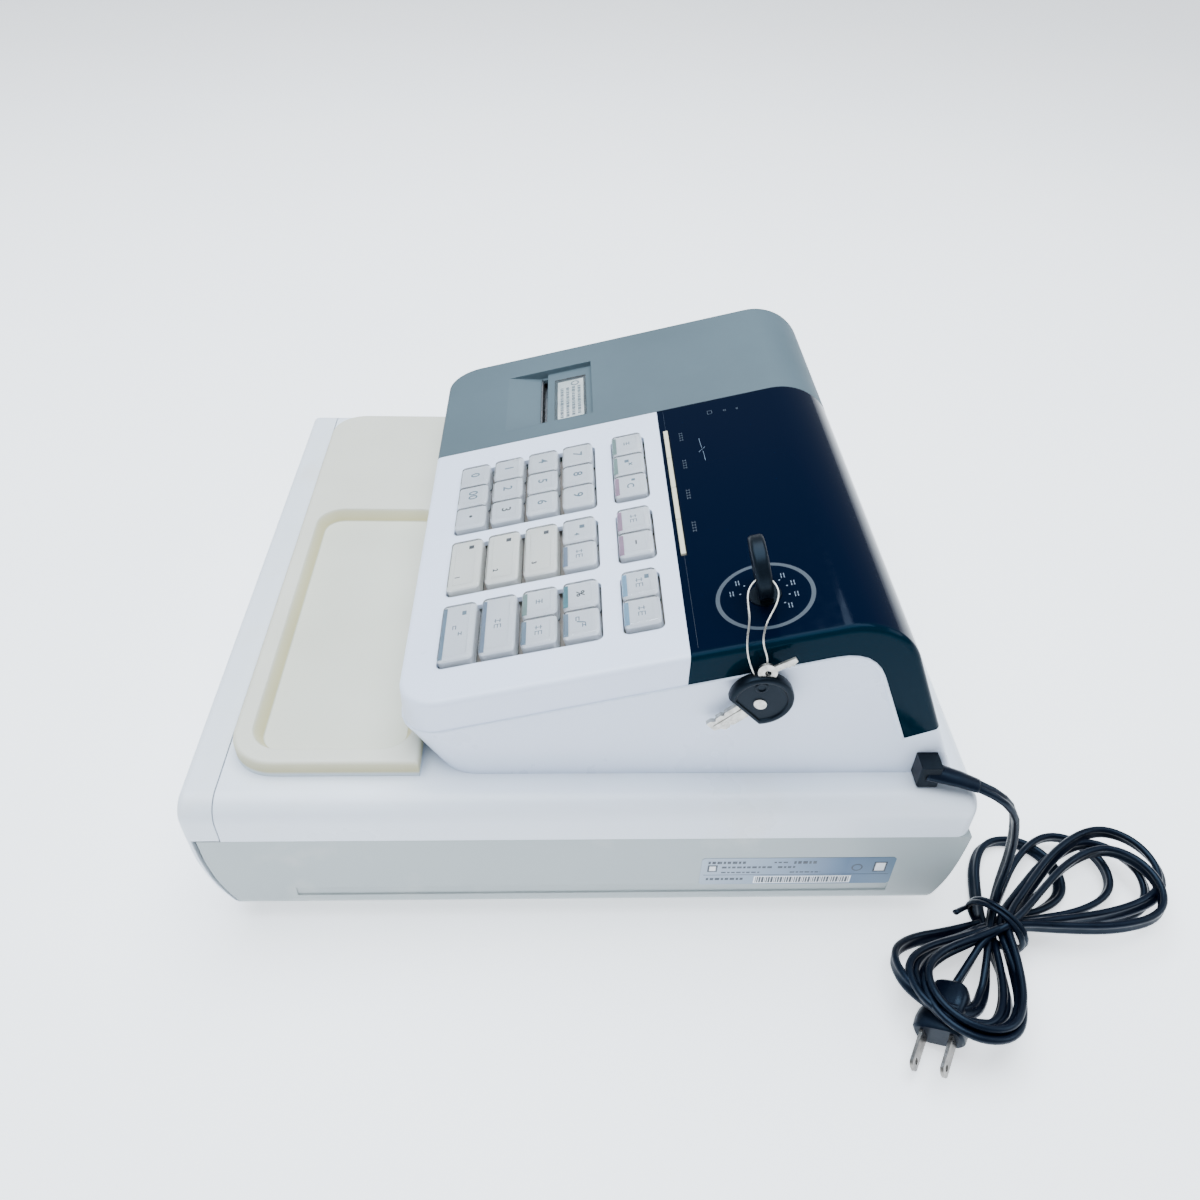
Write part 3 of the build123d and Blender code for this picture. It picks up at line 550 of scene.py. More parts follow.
# rating label low on the right side: silver film that turns to steel blue, with plain bars and a square mark
label_low = Vector((0.1630, 0.0530, 0.0245))
label_high = Vector((0.1630, 0.1415, 0.0445))


def along_axis(tree, coordinates, axis, low, high):
    """How far a point lies from low to high along one axis."""
    parts = tree.nodes.new("ShaderNodeSeparateXYZ")
    tree.links.new(coordinates, parts.inputs["Vector"])
    stretch = tree.nodes.new("ShaderNodeMapRange")
    stretch.inputs["From Min"].default_value = low
    stretch.inputs["From Max"].default_value = high
    tree.links.new(parts.outputs[axis], stretch.inputs["Value"])
    return stretch.outputs["Result"]


silver, tree, shader, place = finish_tree("silver_film")
film_stops = [
    (0.0, shade("9AA6B4")), (0.45, shade("76879B")), (0.75, shade("46607C")), (1.0, shade("62798F")),
]
film = ramp(tree, along_axis(tree, place, "Y", label_low.y, label_high.y), film_stops)
tree.links.new(film, shader.inputs["Base Color"])
shader.inputs["Metallic"].default_value = 0.35
tree.links.new(span(tree, noise(tree, place, 60.0), 0.3, 0.42), shader.inputs["Roughness"])
grain(tree, shader, place, 400.0, 0.1)
label_ink = two_tone("label_ink", 500.0, shade("2B3038"), shade("474E58"), 90.0, 0.4, 0.55)[0]
label_pale = two_tone("label_white", 300.0, shade("D9DEE4"), shade("EEF1F4"), 90.0, 0.4, 0.5)[0]

label_shape = bmesh.new()
side_frame = Matrix(((0, 0, 1, label_low.x), (1, 0, 0, label_low.y), (0, 1, 0, label_low.z), (0, 0, 0, 1)))
label_long = label_high.y - label_low.y
label_tall = label_high.z - label_low.z


def bar(shape, a0, a1, b0, b1, low, high, place, material):
    plate(shape, [(a0, b0), (a1, b0), (a1, b1), (a0, b1)], low, high, place, material)


corner = 0.0012
outline = [(corner, 0), (label_long - corner, 0), (label_long, corner), (label_long, label_tall - corner),
           (label_long - corner, label_tall), (corner, label_tall), (0, label_tall - corner), (0, corner)]
plate(label_shape, outline, 0.00002, 0.00016, side_frame, 0)
ink_low, ink_high, ink_over = 0.00016, 0.00020, 0.00023
bar(label_shape, 0.0015, 0.0870, 0.0072, 0.00745, ink_low, ink_high, side_frame, 1)
for start, end, level, tall in (
    (0.0030, 0.0200, 0.0158, 0.0018), (0.0330, 0.0400, 0.0162, 0.0010), (0.0420, 0.0530, 0.0156, 0.0020),
    (0.0095, 0.0330, 0.0124, 0.0014), (0.0350, 0.0430, 0.0124, 0.0014), (0.0095, 0.0270, 0.0088, 0.0009),
    (0.0410, 0.0550, 0.0088, 0.0008), (0.0030, 0.0200, 0.0034, 0.0016),
):
    place_a = start
    letter = 0
    while place_a < end:
        wide = 0.0011 + 0.0005 * ((letter * 7 + int(start * 1e4)) % 3)
        bar(
            label_shape, place_a, min(end, place_a + wide), level, level + tall, ink_low, ink_high,
            side_frame, 1,
        )
        place_a += wide + 0.0007
        letter += 1
bar(label_shape, 0.0030, 0.0075, 0.0098, 0.0148, ink_low, ink_high, side_frame, 1)
bar(label_shape, 0.0038, 0.0067, 0.0106, 0.0140, ink_high, ink_over, side_frame, 2)
bar(label_shape, 0.0250, 0.0700, 0.0008, 0.0062, ink_low, ink_high, side_frame, 2)
stripe = 0.0258
order = 0
while stripe < 0.0690:
    wide = 0.0003 + 0.00025 * ((order * 5) % 4)
    bar(label_shape, stripe, stripe + wide, 0.0014, 0.0056, ink_high, ink_over, side_frame, 1)
    stripe += wide + 0.0004 + 0.0002 * ((order * 3) % 3)
    order += 1
bar(label_shape, 0.0790, 0.0850, 0.0092, 0.0166, ink_low, ink_high, side_frame, 1)
bar(label_shape, 0.0798, 0.0842, 0.0100, 0.0158, ink_high, ink_over, side_frame, 2)
plate(label_shape, oval(0.0715, 0.0125, 0.0026, 0.0026, 24), ink_low, ink_high, side_frame, 1)
plate(label_shape, oval(0.0715, 0.0125, 0.0019, 0.0019, 24), ink_high, ink_over, side_frame, 0)
label = new_piece(
    "rating_label", finished(label_shape, smooth=False), "cabinet", silver, label_ink, label_pale,
)


# ------------------------------------------------------------------ drawer and its latch
# The drawer front is a curved white moulding on a folded grey steel box;
# a black coin and note insert lifts out of it. A steel lever holds it shut.
paint("drawer_front", moulded("front_plastic", "E4EBF4", "DDE5EE", 0.34, dirt="DCDCD8"))


def enamel(name, light, dark, rough, metallic=0.0):
    """Paint or plating on sheet steel, with faint rolling lines and small rubs."""
    material, tree, shader, place = finish_tree(name)
    stretch = tree.nodes.new("ShaderNodeMapping")
    stretch.inputs["Scale"].default_value = (6.0, 120.0, 120.0)
    tree.links.new(place, stretch.inputs["Vector"])
    streaks = noise(tree, stretch.outputs["Vector"], 4.0, 6.0)
    tree.links.new(
        ramp(tree, streaks, [(0.3, shade(dark)), (0.7, shade(light))]), shader.inputs["Base Color"],
    )
    tree.links.new(
        span(tree, noise(tree, place, 70.0, 7.0), rough - 0.08, rough + 0.1), shader.inputs["Roughness"],
    )
    shader.inputs["Metallic"].default_value = metallic
    grain(tree, shader, place, 260.0, 0.12)
    return material


paint("drawer_box", enamel("drawer_enamel", "8F969C", "7E858B", 0.42))
paint("coin_insert", moulded("insert_plastic", "34383D", "282B30", 0.5, dirt="4A4A48"))
paint("release_latch", enamel("latch_steel", "B9BCC0", "94989D", 0.3, 1.0))


# ------------------------------------------------------------------ cabinet top
# The cover over the drawer is pressed over the tub's rim, with a thin shadow
# gap; it is a white plastic, brighter and glossier than the tub.
paint("cabinet_top", moulded("cover_plastic", "E6EDF7", "DFE7F2", 0.3, dirt="DDDFE0"))


# ------------------------------------------------------------------ loose tray
# A drop-in accessory tray of cream styrene that has yellowed, with a satin
# grain on its rim; painted light runs up its height: painted shade darkens
# its lower walls and corners, and a pale bluish painted reflection lies on its floor.
tray_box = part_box("accessory_tray")
cream, tree, shader, place = finish_tree("tray_cream")
# colour up the tray's height: the pale bluish floor is a painted reflection, the darkest band on the lower
# walls is painted shade, the cream above is the yellowed plastic
tray_tone_and_painted_light_stops = [
    (0.16, shade("DCE3E8")), (0.36, shade("C6BE92")), (0.82, shade("CDC8A8")), (1.0, shade("D6D5C8")),
]
yellowing_and_painted_light = ramp(tree, along_axis(tree, place, "Z", tray_box[0][2], tray_box[1][2]), tray_tone_and_painted_light_stops)
cloud = ramp(tree, noise(tree, place, 16.0, 6.0), [(0.3, (0.93, 0.93, 0.92, 1)), (0.7, (1.0, 1.0, 1.0, 1))])
mix = tree.nodes.new("ShaderNodeMix")
mix.data_type = "RGBA"
mix.blend_type = "MULTIPLY"
mix.inputs["Factor"].default_value = 1.0
tree.links.new(yellowing_and_painted_light, mix.inputs["A"])
tree.links.new(cloud, mix.inputs["B"])
tree.links.new(mix.outputs["Result"], shader.inputs["Base Color"])
tree.links.new(span(tree, noise(tree, place, 30.0, 6.0), 0.34, 0.48), shader.inputs["Roughness"])
soft_edges(tree, grain(tree, shader, place, 900.0, 0.2), 0.0009)
paint("accessory_tray", cream)


# ------------------------------------------------------------------ lower housing
# White base of the upper unit, moulded in ABS, screwed down from inside;
# its walls lean back and meet the top shells along a fine bright lip.
housing_plastic = moulded("housing_plastic", "E2EBFB", "DCE6F8", 0.28, grain_scale=1300.0, grain_depth=0.16)
paint("lower_housing", housing_plastic)

# bright rounded lip along the housing's upper edge: up the front corners, along both sides and down behind
lip_rise = 0.2705
lip_front_y, lip_front_z = -0.0789, 0.1028
lip_side_x = 0.1444
lip_corner = 0.0190
lip_points = []
for side in (-1, 1):
    run = [(0.1351, 0.1036)]
    for step in range(7):
        share = step / 6
        a, b, c = Vector((0.1192, 0.1405)), Vector((0.1130, 0.1547)), Vector((0.0983, 0.1508))
        bend = a.lerp(b, share).lerp(b.lerp(c, share), share)
        run.append((bend.x, bend.y))
    run += [
        (y, lip_front_z + lip_rise * (y - lip_front_y))
        for y in (0.07, 0.03, -0.01, -0.04, lip_front_y + lip_corner)
    ]
    points = [Vector((side * (lip_side_x + 0.0002), y, z)) for y, z in run]
    for step in range(1, 7):
        angle = math.radians(90 * step / 6)
        x = lip_side_x + 0.0002 - (lip_corner + 0.0002) * (1 - math.cos(angle))
        y = lip_front_y - 0.0002 + (lip_corner + 0.0002) * (1 - math.sin(angle))
        points.append(Vector((side * x, y, lip_front_z + lip_rise * (y - lip_front_y))))
    lip_points += points if side < 0 else list(reversed(points))
lip_mesh = tube(finer(lip_points, 0.004), oval(0, 0, 0.00060, 0.00085, 10), upright=(0.02, 0.05, 1))
lip = new_piece("housing_lip", lip_mesh, "cabinet", housing_plastic)
gland_plastic = moulded("gland_plastic", "0C0F14", "07090D", 0.42)
paint("cord_gland", gland_plastic)
paint("transformer", enamel("core_steel", "6B6F74", "53575C", 0.45, 0.6))


# ------------------------------------------------------------------ printer
# A folded zinc-plated frame carries the print head, a rubber roller and a
# 58 mm paper roll, whose end comes up behind the steel tear bar.
paint("printer_frame", enamel("zinc_plate", "C3C6C9", "9FA3A8", 0.26, 1.0))
paint("platen_roller", moulded("roller_rubber", "1E2022", "141517", 0.6))
roll, tree, shader, place = finish_tree("receipt_paper")
wind = tree.nodes.new("ShaderNodeTexWave")
wind.bands_direction = "X"
wind.inputs["Scale"].default_value = 3.0
tree.links.new(place, wind.inputs["Vector"])
tree.links.new(
    ramp(tree, wind.outputs["Fac"], [(0.0, shade("E8E9E6")), (1.0, shade("F4F5F3"))]),
    shader.inputs["Base Color"],
)
tree.links.new(span(tree, noise(tree, place, 200.0), 0.7, 0.85), shader.inputs["Roughness"])
grain(tree, shader, place, 1500.0, 0.1)
paint("paper_roll", roll)


# ------------------------------------------------------------------ printer cover
# Blue-grey ABS cover that lifts off straight, textured all over; a shallow
# well leads to the paper slot and a clear pane behind it shows the journal.
cover_plastic = moulded(
    "cover_grey", "4B5D66", "43545C", 0.6, grain_scale=1500.0, grain_depth=0.4, edge_round=0.0009,
)
paint("printer_cover", cover_plastic)
slope = math.radians(14.37)
front_rim = Vector((0.0, -0.0789, 0.1204))
panel = Matrix((
    (1, 0, 0, front_rim.x),
    (0, math.cos(slope), -math.sin(slope), front_rim.y),
    (0, math.sin(slope), math.cos(slope), front_rim.z),
    (0, 0, 0, 1),
))
pane_x = (-0.1112, -0.0652)
pane_u = (0.0658, 0.0843)
pane_top = -0.0030


def clear_plastic(name, tint, rough):
    material, tree, shader, place = finish_tree(name)
    tree.links.new(
        ramp(tree, noise(tree, place, 80.0), [(0.3, shade(tint)), (0.7, (1.0, 1.0, 1.0, 1.0))]),
        shader.inputs["Base Color"],
    )
    tree.links.new(
        span(tree, noise(tree, place, 240.0, 6.0), rough, rough + 0.07), shader.inputs["Roughness"],
    )
    shader.inputs["Transmission Weight"].default_value = 0.96
    shader.inputs["IOR"].default_value = 1.35
    grain(tree, shader, place, 500.0, 0.06)
    return material


paint("journal_window", clear_plastic("pane_clear", "E4ECEE", 0.04))

# printed paper label under the pane: rows of broken bars round a plain disc, all without meaning
slip_shape = bmesh.new()
slip_top = pane_top - 0.0018
bar(
    slip_shape, pane_x[0] + 0.0016, pane_x[1] - 0.0016, pane_u[0] + 0.0016, pane_u[1] - 0.0016,
    slip_top - 0.0002, slip_top, panel, 0,
)
for row in range(4):
    level = pane_u[0] + 0.0032 + 0.0034 * row
    place_a = pane_x[0] + 0.0095
    order = 0
    while place_a < pane_x[1] - 0.0040:
        wide = 0.0009 + 0.0007 * ((order * 5 + row * 3) % 4)
        bar(
            slip_shape, place_a, place_a + wide, level, level + 0.0018, slip_top, slip_top + 0.00004, panel,
            1,
        )
        place_a += wide + 0.0006
        order += 1
disc_x, disc_u = pane_x[0] + 0.0058, pane_u[1] - 0.0066
plate(slip_shape, oval(disc_x, disc_u, 0.0026, 0.0026, 24), slip_top, slip_top + 0.00004, panel, 1)
plate(slip_shape, oval(disc_x, disc_u, 0.0016, 0.0016, 24), slip_top + 0.00004, slip_top + 0.00007, panel, 0)
slip_ink = two_tone("slip_ink", 500.0, shade("5F6B74"), shade("7E8A93"), 90.0, 0.5, 0.7)[0]
slip = new_piece("journal_slip", finished(slip_shape, smooth=False), "cover", roll, slip_ink)


# ------------------------------------------------------------------ board and contact sheet
# Glass-epoxy board with the display tube on it; a taupe rubber sheet over it
# carries the contact domes and shows in the gaps between the keys.
paint("main_board", moulded("board_green", "2E5A45", "234A38", 0.4))
paint("contact_sheet", moulded("mat_taupe", "938C84", "857E77", 0.7, grain_scale=800.0))


# ------------------------------------------------------------------ keyboard housing
# White top shell with a rounded opening for each block of keys, thin-walled
# ABS, a touch bluer than the base.
keyboard_plastic = moulded(
    "keyboard_plastic", "E3ECFF", "DDE7FC", 0.3, grain_scale=1300.0, grain_depth=0.18, edge_round=0.0006,
)
paint("keyboard_housing", keyboard_plastic)


# ------------------------------------------------------------------ keys
# Each key is a clear acrylic cap snapped over a pale grey stem; a printed
# paper square with its sign, and a colour strip, lies between the two.
pitch_x, pitch_u = 0.0184, 0.0183
gap_x, gap_u = 0.0009, 0.0022
key_x0 = -0.0242
key_front = 0.0167
upper_front = key_front + 4 * pitch_u + 0.0078
block_x = (key_x0, key_x0 + 3 * pitch_x + 0.0099, key_x0 + 5 * pitch_x + 2 * 0.0099)
cap_top, cap_foot = 0.0040, -0.0030

cap_clear = clear_plastic("cap_clear", "FAFBFD", 0.02)
stem_grey = moulded("stem_grey", "DCE0E6", "D4D9DF", 0.5, edge_round=0.0)
stem_ivory = moulded("stem_ivory", "E6E6E0", "E0E0DA", 0.5, edge_round=0.0)


def printed(name, code):
    """Printing ink: nearly even, with a slight break-up."""
    darker = tuple(0.88 * v for v in shade(code)[:3]) + (1.0,)
    return two_tone(name, 600.0, darker, shade(code), 200.0, 0.45, 0.6)[0]


sign_blue = printed("sign_blue", "4F6A7C")
sign_dark = printed("sign_dark", "232C35")
strips = {
    "steel": printed("strip_steel", "56748A"),
    "teal": printed("strip_teal", "0B6E7C"),
    "sky": printed("strip_sky", "6395B4"),
    "mauve": printed("strip_mauve", "93708C"),
    "sage": printed("strip_sage", "63837F"),
    "slate": printed("strip_slate", "5F7690"),
}


def round_outline(x0, x1, u0, u1, radius, steps=5):
    """Rectangle with round corners as a list of points."""
    points = []
    for cx, cu, start in (
        (x1 - radius, u1 - radius, 0), (x0 + radius, u1 - radius, 90), (x0 + radius, u0 + radius, 180),
        (x1 - radius, u0 + radius, 270),
    ):
        for step in range(steps + 1):
            angle = math.radians(start + 90 * step / steps)
            points.append((cx + radius * math.cos(angle), cu + radius * math.sin(angle)))
    return points


def stacked(shape, layers, place, material):
    """Skin over stacked outlines, each (x0, x1, u0, u1, radius, level)."""
    previous = None
    for x0, x1, u0, u1, radius, level in layers:
        ring = [
            shape.verts.new(place @ Vector((a, b, level)))
            for a, b in round_outline(x0, x1, u0, u1, radius)
        ]
        if previous is None:
            shape.faces.new(list(reversed(ring))).material_index = material
        else:
            for k in range(len(ring)):
                n = (k + 1) % len(ring)
                shape.faces.new((previous[k], previous[n], ring[n], ring[k])).material_index = material
        previous = ring
    shape.faces.new(previous).material_index = material


def sign_mesh(text, size):
    """Flat mesh of a plain figure or sign."""
    letters = bpy.data.curves.new("sign", "FONT")
    letters.body = text
    letters.size = size
    letters.align_x = "CENTER"
    letters.align_y = "CENTER"
    letters.offset = 0.00013
    letters.resolution_u = 3
    holder = bpy.data.objects.new("sign", letters)
    mesh = bpy.data.meshes.new_from_object(holder)
    bpy.data.objects.remove(holder)
    return mesh


def add_sign(shape, text, size, at, material):
    mesh = sign_mesh(text, size)
    verts = [
        shape.verts.new(panel @ Vector((v.co.x * 1.12 + at[0], v.co.y + at[1], at[2])))
        for v in mesh.vertices
    ]
    for face in mesh.polygons:
        shape.faces.new([verts[i] for i in face.vertices]).material_index = material
    bpy.data.meshes.remove(mesh)


def add_blocks(shape, rects, at, material):
    """Small printed blocks in place of a word: (a, b, width, height) in millimetres from a point."""
    for a, b, wide, tall in rects:
        x, u = at[0] + a / 1000, at[1] + b / 1000
        points = [(x, u), (x + wide / 1000, u), (x + wide / 1000, u + tall / 1000), (x, u + tall / 1000)]
        verts = [shape.verts.new(panel @ Vector((p, q, at[2]))) for p, q in points]
        shape.faces.new(verts).material_index = material


word_two = [
    (-2.9, -1.2, 2.4, 0.4), (-2.9, 0.8, 2.4, 0.4), (-1.9, -1.6, 0.4, 3.2), (0.5, -1.6, 2.4, 0.4),
    (0.5, 1.2, 2.4, 0.4), (0.5, -0.2, 2.4, 0.4), (0.5, -1.6, 0.4, 3.2),
]
word_one = [(-1.4, -1.5, 2.8, 0.45), (-1.4, 1.1, 2.8, 0.45), (-1.4, -0.2, 2.8, 0.4), (-0.2, -1.5, 0.45, 3.0)]
slash_pair = [
    (-3.6, -2.2, 2.6, 0.45), (-3.6, -0.9, 2.6, 0.45), (-3.6, -2.2, 0.45, 1.7), (0.9, 0.6, 2.3, 0.45),
    (0.9, 1.9, 2.3, 0.45), (1.9, 0.6, 0.45, 1.7),
]
small_badge = [(-4.6, 2.4, 2.7, 2.0)]


def make_key(
    name, x, u, columns, sign=None, size=0.0052, blocks=None, strip=None, badge=False, ink=None,
    ivory=False, offset=(0.0, 0.0),
):
    wide = columns * pitch_x - gap_x
    deep = pitch_u - gap_u
    x1, u1 = x + wide, u + deep
    shape = bmesh.new()
    thick = 0.0009
    stacked(shape, [
        (x, x1, u, u1, 0.0022, cap_foot),
        (x + 0.0002, x1 - 0.0002, u + 0.0002, u1 - 0.0002, 0.0022, cap_top - 0.0015),
        (x + 0.0004, x1 - 0.0004, u + 0.0004, u1 - 0.0004, 0.0021, cap_top - 0.0007),
        (x + 0.0009, x1 - 0.0009, u + 0.0009, u1 - 0.0009, 0.0019, cap_top - 0.0001),
        (x + 0.0015, x1 - 0.0015, u + 0.0015, u1 - 0.0015, 0.0016, cap_top),
    ], panel, 0)
    inset = thick + 0.0006
    stacked(shape, [
        (x + thick, x1 - thick, u + thick, u1 - thick, 0.0016, cap_foot + 0.0003),
        (x + thick, x1 - thick, u + thick, u1 - thick, 0.0016, cap_top - 0.0022),
        (x + inset, x1 - inset, u + inset, u1 - inset, 0.0012, cap_top - 0.0016),
        (x + 0.0030, x1 - 0.0030, u + 0.0030, u1 - 0.0030, 0.0007, cap_top - 0.00155),
        (x + 0.0033, x1 - 0.0033, u + 0.0033, u1 - 0.0033, 0.0006, cap_top - 0.00125),
    ], panel, 1)
    middle = ((x + x1) / 2 + offset[0], (u + u1) / 2 + offset[1], cap_top - 0.00120)
    if sign:
        add_sign(shape, sign, size, middle, 2)
    if blocks:
        add_blocks(shape, blocks, middle, 2)
    if badge:
        add_blocks(shape, small_badge, middle, 2)
    if strip:
        # flat on the stem, then down over its front edge: (u, level) of the strip's two sides
        bend, top, fall = (0.0012, -0.0015), (0.0027, -0.0015), (0.00082, -0.0019)
        for low, high in ((bend, top), (fall, bend)):
            corners = []
            for a, (rise, drop) in (
                (x + 0.0020, low), (x1 - 0.0020, low), (x1 - 0.0020, high), (x + 0.0020, high),
            ):
                corners.append(shape.verts.new(panel @ Vector((a, u + rise, cap_top + drop))))
            shape.faces.new(corners).material_index = 3
    stem = stem_ivory if ivory else stem_grey
    finishes = (cap_clear, stem, ink or sign_blue, strips[strip or "steel"])
    piece = new_piece("cap_" + name, finished(shape), "key_" + name + "_body", *finishes)
    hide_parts("key_" + name)


for row, names in enumerate((("0", "00", "dot"), ("1", "2", "3"), ("4", "5", "6"), ("7", "8", "9"))):
    for column, name in enumerate(names):
        text, size = ("•", 0.0060) if name == "dot" else (name, 0.0066)
        ink = sign_dark if name in ("dot", "3") else sign_blue
        make_key(
            name, block_x[0] + column * pitch_x, key_front + row * pitch_u, 1, sign=text, size=size,
            ink=ink,
        )
for row in range(3):
    make_key(
        "dept_" + str(row + 1), block_x[1], key_front + row * pitch_u, 2, sign=str(row + 1), size=0.0032,
        ink=sign_dark, ivory=True, offset=(0.0095, -0.0030), blocks=[(-22.6, 4.4, 2.6, 2.4)],
    )
make_key(
    "dept_4", block_x[1], key_front + 3 * pitch_u, 1, sign="4", size=0.0032, offset=(0.0035, -0.0010),
    blocks=[(-6.6, 1.4, 2.6, 2.4)],
)
make_key("shift", block_x[1] + pitch_x, key_front + 3 * pitch_u, 1, blocks=word_two, strip="slate")
make_key("cash", block_x[2], key_front, 2, blocks=slash_pair + [(-12.5, 1.6, 2.7, 2.0)], strip="steel")
make_key("subtotal", block_x[2], key_front + pitch_u, 2, blocks=word_two, strip="slate")
make_key("credit", block_x[2], key_front + 2 * pitch_u, 1, blocks=word_one, strip="sage")
make_key("voucher", block_x[2] + pitch_x, key_front + 2 * pitch_u, 1, blocks=word_two, strip="steel")
make_key(
    "percent", block_x[2], key_front + 3 * pitch_u, 1, sign="%", size=0.0050, ink=sign_dark, strip="teal",
)
make_key(
    "no_sale", block_x[2] + pitch_x, key_front + 3 * pitch_u, 1, sign="/", size=0.0050, blocks=slash_pair,
    strip="steel",
)
make_key("receipt", block_x[0], upper_front, 1, blocks=word_one, strip="sage")
make_key(
    "multiply", block_x[0] + pitch_x, upper_front, 1, sign="×", size=0.0046,
    blocks=[(-4.2, -2.6, 2.4, 2.2)], strip="sage", offset=(0.0008, 0.0008),
)
make_key(
    "clear", block_x[0] + 2 * pitch_x, upper_front, 1, sign="C", size=0.0048,
    blocks=[(-5.4, 0.8, 1.8, 1.8)], strip="mauve", offset=(0.0012, 0.0),
)
make_key("correct", block_x[1], upper_front, 1, blocks=word_two, strip="mauve")
make_key("minus", block_x[1] + pitch_x, upper_front, 1, sign="−", size=0.0054, ink=sign_dark, strip="mauve")
make_key("cash_in", block_x[2], upper_front, 1, blocks=word_two, strip="sky", badge=True)
make_key("cash_out", block_x[2] + pitch_x, upper_front, 1, blocks=word_two, strip="sky")


# ------------------------------------------------------------------ display window
# Smoked acrylic shell, so dark that the tube shows only when lit; glossy,
# with hairline scratches, faint prints and a fine line where it was masked.
smoked, tree, shader, place = finish_tree("smoked_acrylic")
# painted reflection: the right side skirt, facing the camera, is coloured a lighter, more teal shade than
# the rest of the acrylic
window_painted_reflection_stops = [(0.0, (0.0004, 0.0030, 0.0120, 1)), (1.0, (0.0004, 0.0085, 0.0160, 1))]
dark = ramp(tree, along_axis(tree, place, "X", 0.1405, 0.1441), window_painted_reflection_stops)
tree.links.new(dark, shader.inputs["Base Color"])
scratch = noise(tree, place, 240.0, 8.0)
tree.links.new(span(tree, scratch, 0.05, 0.13), shader.inputs["Roughness"])
shader.inputs["IOR"].default_value = 1.45
shader.inputs["Specular IOR Level"].default_value = 0.07
shader.inputs["Specular Tint"].default_value = (0.30, 0.62, 1.0, 1.0)
soft_edges(tree, grain(tree, shader, place, 120.0, 0.05), 0.0008)
paint("display_window", smoked)

print_grey = printed("print_grey", "2C3A47")
print_pale = printed("print_pale", "66788A")
print_shape = bmesh.new()
print_level = 0.00003
dial_x, dial_u = 0.1159, 0.1568


def print_face(points, material, level=print_level):
    corners = [print_shape.verts.new(panel @ Vector((a, b, level))) for a, b in points]
    print_shape.faces.new(corners).material_index = material


def print_bar(a0, a1, b0, b1, material):
    print_face([(a0, b0), (a1, b0), (a1, b1), (a0, b1)], material)


# the lock's dial: a broad ring, a dot for each place of the key, and two rows of blocks by each dot
dial_rings = []
for radius in (0.0187, 0.0205):
    dial_line = oval(dial_x, dial_u, radius, radius, 72)
    dial_rings.append([print_shape.verts.new(panel @ Vector((a, b, print_level))) for a, b in dial_line])
for k in range(72):
    n = (k + 1) % 72
    print_shape.faces.new((dial_rings[0][k], dial_rings[1][k], dial_rings[1][n], dial_rings[0][n]))
dots = (
    (0.1078, 0.1492), (0.1126, 0.1469), (0.1082, 0.1638), (0.1125, 0.1663), (0.1180, 0.1665),
    (0.1226, 0.1638),
)
for x, u in dots:
    print_face(oval(x, u, 0.0004, 0.0004, 8), 1)
    way = Vector((x - dial_x, u - dial_u)).normalized()
    place_at = Vector((x, u)) + way * 0.0032
    for row in range(2):
        for part in range(2):
            a = place_at.x + (part - 1) * 0.0016
            b = place_at.y + (row - 1) * 0.0012
            print_bar(a, a + 0.0013, b, b + 0.0004, 1)
# a row of four small marks above each slim button
for x, u in ((-0.0166, 0.1337), (0.0089, 0.1333), (0.0346, 0.1326), (0.0605, 0.1328)):
    for part in range(4):
        a = x - 0.0038 + part * 0.0021
        for b in (u - 0.0008, u + 0.0006):
            print_bar(a, a + 0.0015, b, b + 0.0003, 0)
        print_bar(a + 0.0006, a + 0.0009, u - 0.0008, u + 0.0008, 0)
# three small frames at the window's left end
frames = (
    (-0.0343, 0.1506, 0.0034, 0.0026), (-0.0335, 0.1584, 0.0016, 0.0014), (-0.0328, 0.1649, 0.0018, 0.0010),
)
frame_line = 0.0003
for x, u, wide, tall in frames:
    left, low = x - wide / 2, u - tall / 2
    print_bar(left, left + wide, low, low + frame_line, 0)
    print_bar(left, left + wide, low + tall - frame_line, low + tall, 0)
    print_bar(left, left + frame_line, low, low + tall, 0)
    print_bar(left + wide - frame_line, left + wide, low, low + tall, 0)
# hairline scratches, and the fine line where the window was masked
scratches = (
    (-0.0115, 0.1425, -0.0025, 0.1430),
    (0.0005, 0.1434, 0.0092, 0.1437),
    (-0.0030, 0.1448, 0.0008, 0.1412),
)
for x0, u0, x1, u1 in scratches:
    way = Vector((x1 - x0, u1 - u0)).normalized() * 0.00010
    quad = [
        (x1 - way.y, u1 + way.x), (x1 + way.y, u1 - way.x), (x0 + way.y, u0 - way.x),
        (x0 - way.y, u0 + way.x),
    ]
    print_face(quad, 1)
mask_line = [(-0.0440, 0.12640), (0.1395, 0.12640), (0.1395, 0.12648), (-0.0440, 0.12648)]
print_face(mask_line, 0, 0.00002)
prints = new_piece("window_prints", finished(print_shape, smooth=False), "cabinet", print_grey, print_pale)

# four slim cream buttons along the window's lower edge
button_cream = moulded("button_cream", "D6D2BC", "CDC8AF", 0.4, edge_round=0.0003)
for number in range(1, 5):
    paint("button_" + str(number), button_cream)


# ------------------------------------------------------------------ mode lock and its keys
# The lock's black plug turns with the operator's key in it; a thin steel
# wire through the bow carries a second key and a small metal one.
key_black = moulded("key_black", "0A0F15", "05080D", 0.34, grain_scale=900.0, edge_round=0.0004)
key_steel = enamel("key_steel", "C4C2BC", "98968F", 0.28, 1.0)
for black in (key_black, gland_plastic):
    black.node_tree.nodes["Principled BSDF"].inputs["Specular IOR Level"].default_value = 0.16
    black.node_tree.nodes["Principled BSDF"].inputs["Specular Tint"].default_value = (0.45, 0.70, 1.0, 1.0)
paint("mode_key", key_black)

